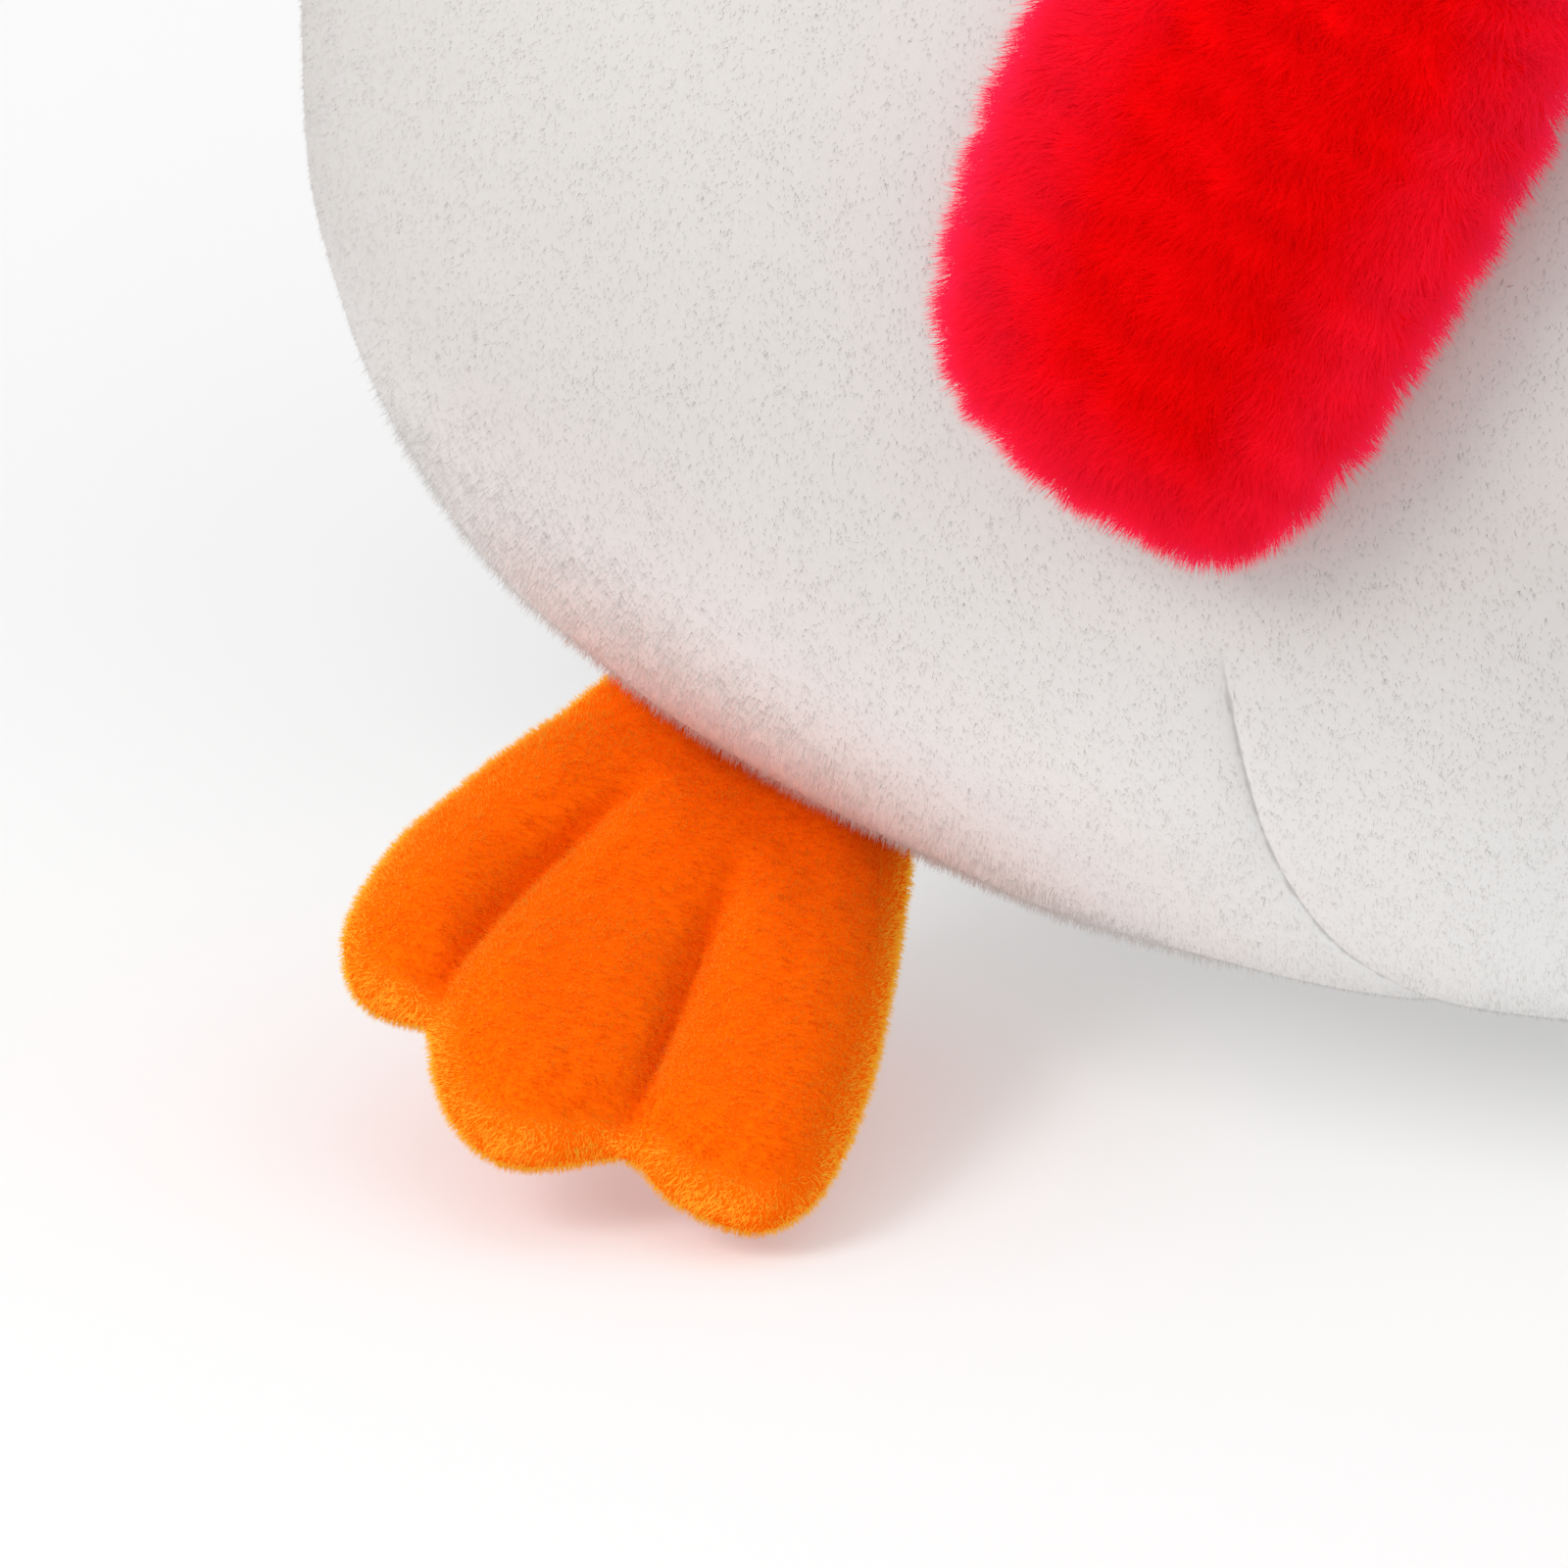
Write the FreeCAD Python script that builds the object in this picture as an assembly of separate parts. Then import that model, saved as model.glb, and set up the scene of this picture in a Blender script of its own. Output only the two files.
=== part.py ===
import FreeCAD, Part

import math
import os

from FreeCAD import Vector

# A chubby sitting plush penguin with a red fleece scarf, in millimetres.
# +Z is up, the penguin faces -Y, and the origin is the centre of the round base it sits on.
# Every sewn panel is a shell of its own over a stuffing core of its own.

# --- driving dimensions ---
FLEECE = 1.6  # thickness of the short-pile fabric, backing and pile
SEAM = 0.2  # gap left between two panels along a sewn seam
LAYER = 0.3  # gap between a skin and its stuffing

BODY_R = 142.7  # largest radius of the body
BODY_WIDE_Z = 98.0  # height of that radius
BODY_DOWN = 102.8  # reach of the body's lower curve, which the base cuts off
BODY_UP = 104.0  # reach of its upper curve, which the neck cuts off
NECK_Z = 190.0

HEAD_R = 103.0
HEAD_Z = 268.0
HEAD_HALF = 80.0
TURN_GAP = 0.6  # slit between body and head, where the stuffed neck twists

FOOT_YAW, FOOT_PITCH, FOOT_ROLL = 27.0, 13.0, 17.0  # toes out, toes down, inner edge down
FOOT_ROOT = (96.7, -46.8, 28.2)  # middle of the left foot's ankle seam
ANKLE_HALF = 18.5
TOES = ((45.0, 13.0, 10.0), (59.5, -5.0, 10.2), (55.0, -26.0, 9.3))  # reach, side and radius

WING_ROOT = (112.0, 0.0, 169.5)
WING_DROOP = 38.0  # degrees below level
WING_HALF = 19.0
WING_LOBES = ((34.0, 0.0, 24.0), (64.0, 4.0, 17.0))

TAIL_ROOT = (0.0, 132.2, 52.0)
TAIL_DROOP = 20.0
TAIL_HALF = 20.0
TAIL_LOBES = ((22.0, 0.0, 13.0),)

SCARF_THICK = 10.0  # folded fleece with its long pile
SCARF_GAP = 1.2  # between a scarf tail and the belly under it
KNOT = (-11.0, -112.0, 195.5)
KNOT_HALF = (25.0, 13.0, 18.0)


# --- curves ---
def super_radius(height, wide_z, radius, reach, height_power, radius_power):
    """Radius at a height of a superellipse turned about Z."""
    share = min(1.0, abs(height - wide_z) / reach)
    return radius * (1.0 - share**height_power) ** (1.0 / radius_power)


def body_radius(z, grow=0.0):
    if z < BODY_WIDE_Z:
        return super_radius(z, BODY_WIDE_Z, BODY_R + grow, BODY_DOWN + grow, 2.54, 1.52)
    return super_radius(z, BODY_WIDE_Z, BODY_R + grow, BODY_UP + grow, 2.2, 1.9)


def head_radius(z, grow=0.0):
    return super_radius(z, HEAD_Z, HEAD_R + grow, HEAD_HALF + grow, 2.3, 2.1)


def spline(points):
    curve = Part.BSplineCurve()
    curve.interpolate([Vector(*p) for p in points])
    return curve.toShape()


def line(a, b):
    return Part.LineSegment(Vector(*a), Vector(*b)).toShape()


def cosine_steps(low, high, count):
    """Heights from low to high, closer together near both ends."""
    middle, half = (low + high) / 2.0, (high - low) / 2.0
    return [middle - half * math.cos(math.pi * i / (count - 1)) for i in range(count)]


def spun(radius_at, low, high, count=13):
    """Solid of revolution about Z between two heights, flat at an end where it still has a radius."""
    side = [(radius_at(z), 0.0, z) for z in cosine_steps(low, high, count)]
    corners = [side[-1]] if side[-1][0] < 1e-6 else [side[-1], (0.0, 0.0, high)]
    corners.append((0.0, 0.0, low))
    if side[0][0] > 1e-6:
        corners.append(side[0])
    edges = [spline(side)] + [line(a, b) for a, b in zip(corners, corners[1:])]
    return Part.Face(Part.Wire(edges)).revolve(Vector(0, 0, 0), Vector(0, 0, 1), 360)


def body_solid(grow=0.0, low=0.0, high=NECK_Z):
    return spun(lambda z: body_radius(z, grow), low, high)


def head_solid(grow=0.0, low=NECK_Z + TURN_GAP):
    top = HEAD_Z + HEAD_HALF + grow
    return spun(lambda z: head_radius(z, grow), low, top, 17)


# --- cutting tools ---
def block(x0, y0, z0, x1, y1, z1):
    return Part.makeBox(x1 - x0, y1 - y0, z1 - z0, Vector(x0, y0, z0))


def behind_side_seam(shift):
    """Everything behind the side seams: a slanting plane, further forward at the shoulders."""
    half = block(-300, 0, -300, 300, 300, 300)
    half.rotate(Vector(0, 0, 0), Vector(1, 0, 0), 12.0)
    half.translate(Vector(0, 38.0 + shift, 60.0))
    return half


def rod(radius, length, base, direction=(0, 0, 1)):
    return Part.makeCylinder(radius, length, Vector(*base), Vector(*direction))


def one_solid(shape):
    """The only solid of a boolean's result, refined."""
    solids = shape.removeSplitter().Solids
    if len(solids) != 1:
        raise ValueError(f"expected one solid, found {len(solids)}")
    return solids[0]


# --- flat stuffed limbs: feet, flippers and tail ---
def limb_frame(root, yaw, pitch, roll):
    """Placement with +X along the limb, +Y across it and +Z out of its upper face.

    At zero angles the limb points along -Y. Yaw turns it to +X, pitch drops its tip, and roll
    drops its -Y local edge."""
    turn = FreeCAD.Rotation(Vector(0, 0, 1), -90.0 + yaw)
    drop = FreeCAD.Rotation(Vector(0, 1, 0), pitch)
    lean = FreeCAD.Rotation(Vector(1, 0, 0), roll)
    return FreeCAD.Placement(Vector(*root), turn.multiply(drop).multiply(lean))


def lobe_prism(root_half, reach, side, radius, low, high, start=0.0):
    """A web from the seam to one round lobe, with edges tangent to the lobe."""
    corners = []
    for edge in (-1.0, 1.0):
        foot = Vector(start, edge * root_half, low)
        away = Vector(reach, side, low) - foot
        swing = math.acos(radius / away.Length)
        angle = math.atan2(away.y, away.x) + math.pi - edge * swing
        corners.append((foot, Vector(reach + radius * math.cos(angle), side + radius * math.sin(angle), low)))
    (a, a_touch), (b, b_touch) = corners
    angle = math.atan2(side, reach)
    tip = Vector(reach + radius * math.cos(angle), side + radius * math.sin(angle), low)
    web = Part.Wire(
        [
            Part.LineSegment(a, a_touch).toShape(),
            Part.Arc(a_touch, tip, b_touch).toShape(),
            Part.LineSegment(b_touch, b).toShape(),
            Part.LineSegment(b, a).toShape(),
        ]
    )
    return Part.Face(web).extrude(Vector(0, 0, high - low))


def limb_solid(root_half, lobes, low, high, seam_low, seam_high, inset=0.0):
    """A flat stuffed limb: webbed lobes, thinner at the seam, full in the middle, rounded at the tips."""
    reach = max(along + radius for along, _, radius in lobes) - inset
    prisms = [
        lobe_prism(root_half - inset, along, side, radius - inset, low - 1, high + 1, inset)
        for along, side, radius in lobes
    ]
    plan = prisms[0].fuse(prisms[1:]).removeSplitter() if len(prisms) > 1 else prisms[0]
    full = min(20.0, reach * 0.45)
    tip_round = (high - low) * 0.5
    points = [
        (inset, 0, seam_low + inset),
        (full, 0, low + inset),
        (reach - tip_round, 0, low + inset),
        (reach + 0.01, 0, (low + high) / 2),
        (reach - tip_round, 0, high - inset),
        (full, 0, high - inset),
        (inset, 0, seam_high - inset),
    ]
    rim = Part.Arc(*[Vector(*p) for p in points[2:5]]).toShape()
    edges = [line(points[0], points[1]), line(points[1], points[2]), rim]
    edges += [line(points[4], points[5]), line(points[5], points[6]), line(points[6], points[0])]
    side_view = Part.Face(Part.Wire(edges))
    side_view.translate(Vector(0, -200, 0))
    return one_solid(plan.common(side_view.extrude(Vector(0, 400, 0))))


def limb_parts(frame, root_half, lobes, low, high, seam_low, seam_high, split=0.0):
    """Upper panel, lower panel and stuffing of a limb, in place."""
    outer = limb_solid(root_half, lobes, low, high, seam_low, seam_high)
    pocket = limb_solid(root_half, lobes, low, high, seam_low, seam_high, FLEECE)
    core = limb_solid(root_half, lobes, low, high, seam_low, seam_high, FLEECE + LAYER)
    skin = outer.cut(pocket)
    upper = one_solid(skin.common(block(-50, -200, split + SEAM / 2, 200, 200, 100)))
    lower = one_solid(skin.common(block(-50, -200, -100, 200, 200, split - SEAM / 2)))
    for shape in (upper, lower, core):
        shape.Placement = frame.multiply(shape.Placement)
    return upper, lower, core


def mirrored(shape):
    return shape.mirror(Vector(0, 0, 0), Vector(1, 0, 0))


def both_sides(parts, name, shapes):
    """The left limb as built, and the right one as its mirror image."""
    for role, shape in shapes.items():
        parts[f"{name}_left_{role}"] = shape
        parts[f"{name}_right_{role}"] = mirrored(shape)


# --- body ---
POUCH_Z = FLEECE + LAYER  # the pellet pouch lies on the base panel
POUCH_R, POUCH_WIDE_Z, POUCH_TOP = 50.0, 20.0, 36.0


def pouch_radius(z, grow=0.0):
    reach = POUCH_TOP - POUCH_WIDE_Z
    if z < POUCH_WIDE_Z:
        reach = POUCH_WIDE_Z + 4.0
    return super_radius(z, POUCH_WIDE_Z, POUCH_R + grow, reach + grow, 2.2, 2.0)


def pouch_solid(grow, low):
    return spun(lambda z: pouch_radius(z, grow), low, POUCH_TOP + grow, 13)


def body_parts():
    base_r = body_radius(0.0)
    inside = body_solid(-FLEECE, FLEECE)
    skin = body_solid().cut(inside)
    skin = skin.cut(rod(58.0, 10.0, (0, 0, NECK_Z - 5.0)))
    wall = skin.cut(rod(base_r - 0.6, 6.0, (0, 0, -1)))
    front = one_solid(wall.cut(behind_side_seam(-SEAM / 2)))
    back = wall.common(behind_side_seam(SEAM / 2))
    back_left = one_solid(back.common(block(SEAM / 2, -300, -50, 300, 300, 400)))
    pouch = pouch_solid(0.0, POUCH_Z)
    core = body_solid(-FLEECE - LAYER, POUCH_Z, NECK_Z - LAYER)
    pellets = pouch_solid(-1.0, POUCH_Z + 0.8)
    return {
        "belly_panel": front,
        "back_panel_left": back_left,
        "back_panel_right": mirrored(back_left),
        "base_panel": rod(base_r - 0.8, FLEECE, (0, 0, 0)),
        "body_stuffing": one_solid(core.cut(pouch_solid(LAYER, POUCH_Z - LAYER))),
        "pellet_pouch": one_solid(pouch.cut(pouch_solid(-0.7, POUCH_Z + 0.5))),
        "pellet_fill": pellets,
    }


CLOSING_Z = (58.0, 112.0)
CLOSING_COUNT = 10
THREAD_R = 0.4
LABEL_SIZE = (24.0, 0.5, 22.0)
LABEL_TOP_Z, LABEL_AZIMUTH = 50.0, 152.0


def closing_stitches():
    """Ladder stitches where the back seam was closed by hand after stuffing."""
    low, high = CLOSING_Z
    bars = []
    for i in range(CLOSING_COUNT):
        z = low + (high - low) * i / (CLOSING_COUNT - 1)
        y = body_radius(z) + THREAD_R + 0.15
        bars.append(rod(THREAD_R, 3.6, (-1.8, y, z), (1, 0, 0)))
    return Part.makeCompound(bars)


def care_label():
    """A blank folded label that hangs from the right side seam, low at the back."""
    wide, thick, tall = LABEL_SIZE
    front = Part.makeBox(wide, thick, tall, Vector(-wide / 2, 0, -tall))
    rear = Part.makeBox(wide, thick, tall, Vector(-wide / 2, thick * 2, -tall))
    fold = Part.makeBox(wide, thick * 3, thick, Vector(-wide / 2, 0, -tall))
    label = front.fuse([rear, fold])
    reach = body_radius(LABEL_TOP_Z) + 1.2
    angle = math.radians(LABEL_AZIMUTH)
    label.rotate(Vector(0, 0, 0), Vector(0, 0, 1), LABEL_AZIMUTH - 90.0)
    label.translate(Vector(reach * math.cos(angle), reach * math.sin(angle), LABEL_TOP_Z))
    return one_solid(label)


# --- head ---
EYE_AZIMUTH, EYE_Z = 24.0, 279.0
EYE_R, EYE_BULGE = 7.0, 5.0
SHANK_R, SHANK_LENGTH = 2.0, 14.0
WASHER_R, WASHER_THICK = 8.0, 1.2
BEAK_HALF = (15.0, 9.5)  # half width and half height
BEAK_REACH = 21.0
BEAK_Z = 259.0


FACE_LOBES = (((29.0, 282.0), 37.0), ((31.0, 254.0), 38.0))  # brow and cheek: centre and radius


def face_prism(grow=0.0):
    """Two brow lobes and two wide cheek lobes, seen from the front."""
    lobes = [
        rod(radius + grow, 200, (side * x, 0, z), (0, -1, 0))
        for (x, z), radius in FACE_LOBES
        for side in (-1, 1)
    ]
    (cheek_x, cheek_z), cheek_r = FACE_LOBES[1]
    middle = block(-cheek_x, -200, cheek_z - cheek_r - grow, cheek_x, 0, 296)
    return middle.fuse(lobes).removeSplitter()


def eye_placement(side):
    """Eye axes leave the head at its surface normal, close to level."""
    angle = math.radians(side * EYE_AZIMUTH)
    reach = head_radius(EYE_Z)
    out = Vector(math.sin(angle), -math.cos(angle), 0.12)
    out.normalize()
    seat = Vector(reach * math.sin(angle), -reach * math.cos(angle), EYE_Z)
    return FreeCAD.Placement(seat, FreeCAD.Rotation(Vector(0, 0, 1), out))


def eye_parts(side):
    """Safety eye with its shank, and the locking washer behind the fabric. Local +Z leaves the head."""
    lift = 0.7
    dome = spun(lambda z: super_radius(z, lift, EYE_R, EYE_BULGE, 2.0, 2.0), lift, lift + EYE_BULGE, 9)
    shank = rod(SHANK_R, SHANK_LENGTH + lift, (0, 0, -SHANK_LENGTH))
    eye = one_solid(dome.fuse(shank))
    washer = rod(WASHER_R, WASHER_THICK, (0, 0, -5.2))
    washer = washer.cut(rod(SHANK_R + 0.05, 10, (0, 0, -8)))
    for shape in (eye, washer):
        shape.Placement = eye_placement(side)
    return eye, one_solid(washer)


def eye_clearance(side, radius, low, high):
    hole = rod(radius, high - low, (0, 0, low))
    hole.Placement = eye_placement(side)
    return hole


def beak_solid(inset=0.0):
    """A blunt cone along -Y, wider than it is high."""
    half_wide, half_high = (half - inset for half in BEAK_HALF)
    nose = spun(lambda z: super_radius(z, 0, half_wide, BEAK_REACH - inset, 1.7, 2.0), 0, BEAK_REACH - inset, 9)
    nose = nose.fuse(rod(half_wide, 14.0, (0, 0, -14.0)))
    squeeze = FreeCAD.Matrix()
    squeeze.scale(1.0, half_high / half_wide, 1.0)
    nose = nose.transformGeometry(squeeze)
    nose.rotate(Vector(0, 0, 0), Vector(1, 0, 0), 90.0)
    nose.translate(Vector(0, -head_radius(BEAK_Z) + 0.5, BEAK_Z))
    return nose


def head_parts():
    low = NECK_Z + TURN_GAP
    inside = head_solid(-FLEECE, low + FLEECE)
    skin = head_solid().cut(inside).cut(rod(24.0, 8.0, (0, 0, low - 2)))
    core = head_solid(-FLEECE - LAYER, low + FLEECE + LAYER)
    for side in (-1, 1):
        skin = skin.cut(eye_clearance(side, SHANK_R + 0.3, -20, 5))
        core = core.cut(eye_clearance(side, SHANK_R + 0.5, -17, 5))
        core = core.cut(eye_clearance(side, WASHER_R + 0.4, -5.2 - WASHER_THICK, 5))
    front_half = block(-300, -300, 0, 300, 0, 500)
    face = skin.common(face_prism()).common(front_half)
    hood = skin.cut(face_prism(SEAM).common(front_half))
    hood_left = one_solid(hood.common(block(SEAM / 2, -300, 0, 300, 300, 500)))
    parts = {
        "face_panel": one_solid(face),
        "hood_left": hood_left,
        "hood_right": mirrored(hood_left),
        "head_stuffing": one_solid(core),
    }
    for name, side in (("left", 1), ("right", -1)):
        parts[f"eye_{name}"], parts[f"eye_washer_{name}"] = eye_parts(side)
    beak, pocket, filling = beak_solid(), beak_solid(1.2), beak_solid(1.5)
    clear = head_solid(0.3)
    shell = beak.cut(pocket).cut(clear)
    parts["beak_upper"] = one_solid(shell.common(block(-50, -200, BEAK_Z + SEAM / 2, 50, 0, 400)))
    parts["beak_lower"] = one_solid(shell.common(block(-50, -200, 0, 50, 0, BEAK_Z - SEAM / 2)))
    parts["beak_stuffing"] = one_solid(filling.cut(clear))
    return parts


# --- limbs ---
def foot_parts():
    frame = limb_frame(FOOT_ROOT, FOOT_YAW, FOOT_PITCH, FOOT_ROLL)
    upper, lower, core = limb_parts(frame, ANKLE_HALF, TOES, -5.0, PAD_TOP, -4.6, -0.8, -2.7)
    return {"top": upper, "sole": lower, "stuffing": core, "toe_stitches": toe_stitches(frame)}


PAD_TOP = 5.5
TOE_LINES = (((21.0, 6.0), (53.5, 8.0)), ((21.0, -9.2), (57.5, -16.6)))
STITCH, STITCH_GAP = 2.6, 1.4


def toe_stitches(frame):
    """Running stitches along the two lines that part the toes, lying on the upper panel."""
    stitches = []
    for start, end in TOE_LINES:
        a, b = (Vector(*spot, PAD_TOP + THREAD_R + 0.1) for spot in (start, end))
        way = (b - a).normalize()
        for i in range(int((b - a).Length / (STITCH + STITCH_GAP))):
            stitches.append(Part.makeCylinder(THREAD_R, STITCH, a + way * i * (STITCH + STITCH_GAP), way))
    lines = Part.makeCompound(stitches)
    lines.Placement = frame
    return lines


def flipper_parts():
    frame = limb_frame(WING_ROOT, 90.0, WING_DROOP, 0.0)
    upper, lower, core = limb_parts(frame, WING_HALF, WING_LOBES, -5.5, 5.5, -2.5, 2.5)
    return {"outer": upper, "inner": lower, "stuffing": core}


def tail_parts():
    frame = limb_frame(TAIL_ROOT, 180.0, TAIL_DROOP, 0.0)
    upper, lower, core = limb_parts(frame, TAIL_HALF, TAIL_LOBES, -6.5, 6.5, -4.0, 4.0)
    return {"tail_upper": upper, "tail_lower": lower, "tail_stuffing": core}


# --- scarf ---
WRAP_R, WRAP_Z = 94.0, 197.5  # middle of the neck wrap's section
WRAP_HALF = (16.0, 18.0)
HANG_TOP = 177.5  # height where both tails leave the knot
HANG_R = 106.0  # their inner radius there
LANDING_Z = 142.0  # height where they meet the belly


def wrap_solid(grow=0.0):
    """The stretch of scarf round the neck: an oval section turned about Z."""
    half_r, half_z = WRAP_HALF[0] + grow, WRAP_HALF[1] + grow
    oval = Part.Ellipse(Vector(0, 0, 0), half_z, half_r).toShape()
    oval.rotate(Vector(0, 0, 0), Vector(0, 0, 1), 90.0)
    oval.rotate(Vector(0, 0, 0), Vector(1, 0, 0), 90.0)
    oval.translate(Vector(WRAP_R, 0, WRAP_Z))
    return Part.Face(Part.Wire([oval])).revolve(Vector(0, 0, 0), Vector(0, 0, 1), 360)


def knot_solid():
    ball = Part.makeSphere(1.0)
    size = FreeCAD.Matrix()
    size.scale(*KNOT_HALF)
    ball = ball.transformGeometry(size)
    ball.translate(Vector(*KNOT))
    above_tails = block(-200, -300, HANG_TOP + 0.4, 200, 0, 400)
    return one_solid(ball.cut(wrap_solid(0.05)).cut(head_solid(1.5)).common(above_tails))


def hang_radius(z):
    """Inner radius of a hanging tail: straight off the knot, then against the belly."""
    if z < LANDING_Z:
        return body_radius(z) + SCARF_GAP
    share = (z - LANDING_Z) / (HANG_TOP - LANDING_Z)
    landing = body_radius(LANDING_Z) + SCARF_GAP
    return max(body_radius(z) + SCARF_GAP, landing + share * (HANG_R - landing))


def hanging_slab(low, angle, sweep):
    """A layer of scarf turned about Z, from the knot down to a height."""
    heights = [HANG_TOP - (HANG_TOP - low) * i / 8.0 for i in range(9)]
    inner = [(hang_radius(z), 0.0, z) for z in heights]
    outer = [(r + SCARF_THICK, 0.0, z) for r, _, z in inner]
    edges = [spline(inner), line(inner[-1], outer[-1]), spline(outer), line(outer[0], inner[0])]
    slab = Part.Face(Part.Wire(Part.__sortEdges__(edges)))
    slab.rotate(Vector(0, 0, 0), Vector(0, 0, 1), angle)
    return slab.revolve(Vector(0, 0, 0), Vector(0, 0, 1), sweep)


def tail_outline(root, shoulder, tip, radius):
    """Front view of a tail: gathered root, full width at the shoulder, round tip."""
    (rx0, rx1), (sx0, sx1, sz) = root, shoulder
    tip_x, tip_z = tip
    top = HANG_TOP + 1.0
    corners = []
    for x, edge in ((sx0, 1.0), (sx1, -1.0)):
        away = Vector(tip_x - x, 0, tip_z - sz)
        swing = math.acos(radius / away.Length)
        angle = math.atan2(away.z, away.x) + math.pi + edge * swing
        corners.append(Vector(tip_x + radius * math.cos(angle), 0, tip_z + radius * math.sin(angle)))
    left, right = corners
    fall = Vector(tip_x - (sx0 + sx1) / 2.0, 0, tip_z - sz).normalize()
    bottom = Vector(tip_x, 0, tip_z) + fall * radius
    a, b = Vector(rx0, 0, top), Vector(rx1, 0, top)
    c, d = Vector(sx1, 0, sz), Vector(sx0, 0, sz)
    edges = [Part.LineSegment(*pair).toShape() for pair in ((a, b), (b, c), (c, right))]
    edges.append(Part.Arc(right, bottom, left).toShape())
    edges += [Part.LineSegment(*pair).toShape() for pair in ((left, d), (d, a))]
    face = Part.Face(Part.Wire(edges))
    face.translate(Vector(0, -20, 0))
    return face.extrude(Vector(0, -200, 0))


def scarf_parts():
    long_end = hanging_slab(80.0, -140.0, 65.0)
    long_cut = tail_outline((-35.0, -6.0), (-62.5, -6.0, 150.0), (-53.5, 109.5), 25.0)
    short_end = hanging_slab(104.0, -95.0, 45.0)
    short_cut = tail_outline((-3.0, 15.0), (4.0, 46.0, 154.0), (35.0, 133.0), 21.0)
    return {
        "scarf_wrap": one_solid(wrap_solid()),
        "scarf_knot": knot_solid(),
        "scarf_tail_long": one_solid(long_end.common(long_cut)),
        "scarf_tail_short": one_solid(short_end.common(short_cut)),
    }


def all_parts():
    parts = {**body_parts(), **head_parts(), **tail_parts(), **scarf_parts()}
    parts["closing_stitches"] = closing_stitches()
    parts["care_label"] = care_label()
    both_sides(parts, "foot", foot_parts())
    both_sides(parts, "flipper", flipper_parts())
    return parts


def main():
    os.makedirs("parts", exist_ok=True)
    for name, shape in sorted(all_parts().items()):
        if not shape.isValid():
            raise ValueError(f"{name} is not a valid shape")
        shape.exportStep(f"parts/{name}.step")
        box = shape.BoundBox
        print(
            f"{name:26s} solids {len(shape.Solids):2d}  volume {shape.Volume:10.0f}  "
            f"x {box.XMin:7.1f} {box.XMax:7.1f}  y {box.YMin:7.1f} {box.YMax:7.1f}  z {box.ZMin:6.1f} {box.ZMax:6.1f}"
        )


main()
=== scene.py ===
"""A chubby sitting plush penguin with a red long-pile scarf, dressed around its CAD frame.

Shapes are worked out in millimetres and written to the meshes in metres. The penguin faces -Y.
"""

import math

import bpy
import numpy as np
from mathutils import Matrix, Vector


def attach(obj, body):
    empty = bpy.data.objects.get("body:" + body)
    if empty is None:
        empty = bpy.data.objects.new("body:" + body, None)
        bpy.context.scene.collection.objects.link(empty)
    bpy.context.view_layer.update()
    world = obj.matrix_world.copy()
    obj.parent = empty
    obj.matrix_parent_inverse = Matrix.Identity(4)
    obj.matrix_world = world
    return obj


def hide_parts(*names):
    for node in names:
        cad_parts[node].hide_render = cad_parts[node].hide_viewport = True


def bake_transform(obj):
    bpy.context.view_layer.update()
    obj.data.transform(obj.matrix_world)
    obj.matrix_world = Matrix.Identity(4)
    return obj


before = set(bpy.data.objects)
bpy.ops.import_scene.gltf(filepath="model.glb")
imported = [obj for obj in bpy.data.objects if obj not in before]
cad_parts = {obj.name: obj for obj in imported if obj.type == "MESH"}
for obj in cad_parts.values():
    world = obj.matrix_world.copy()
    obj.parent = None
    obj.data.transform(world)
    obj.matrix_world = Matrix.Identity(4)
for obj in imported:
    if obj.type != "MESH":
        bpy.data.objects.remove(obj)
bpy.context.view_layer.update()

MM = 0.001

# --- the toy's own sizes, as in the CAD source ---
BODY_R, BODY_WIDE_Z, BODY_DOWN, BODY_UP, NECK_Z = 142.7, 98.0, 102.8, 104.0, 190.0
HEAD_R, HEAD_Z, HEAD_HALF, HEAD_LOW = 103.0, 268.0, 80.0, 190.6
PILE_SINK = 0.05  # the cloth lies this far inside the CAD skin
SEAM_DEPTH = 1.5  # the deepest that a seam is pulled in
CLOTH_THICK = 1.2
ROOT_DEPTH = 0.25  # how deep a fibre is rooted in its cloth
SIDE_SEAM_TILT, SIDE_SEAM_POINT = 12.0, (38.0, 60.0)
DART_AZIMUTH, DART_TOP = 20.5, 73.0
FOOT_TURN, FOOT_ROOT = (27.0, 13.0, 17.0), (96.0, -45.5, 28.5)
WING_TURN, WING_ROOT = (90.0, 38.0, 0.0), (112.0, 0.0, 169.5)
TAIL_TURN, TAIL_ROOT = (180.0, 20.0, 0.0), (0.0, 132.2, 52.0)
WRAP_R, WRAP_Z = 94.0, 197.5
HANG_TOP, HANG_R, LANDING_Z, SCARF_GAP, SCARF_THICK = 177.5, 106.0, 142.0, 1.2, 10.0
KNOT, KNOT_HALF = (-11.0, -112.0, 195.5), (21.0, 11.0, 15.0)
FACE_LOBES, FACE_NOTCH_Z = (((29.0, 282.0), 37.0), ((31.0, 254.0), 38.0)), 296.0
BEAK_Z, BEAK_HALF, BEAK_REACH = 259.0, (15.0, 9.5), 21.0


# --- making and reshaping pieces ---
def deselect():
    if bpy.context.object and bpy.context.object.mode != "OBJECT":
        bpy.ops.object.mode_set(mode="OBJECT")
    bpy.ops.object.select_all(action="DESELECT")


def fresh(name):
    """The primitive that was just added, under its own name."""
    piece = bpy.context.object
    piece.name = piece.data.name = name
    return piece


def pick(piece):
    deselect()
    piece.select_set(True)
    bpy.context.view_layer.objects.active = piece


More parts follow.
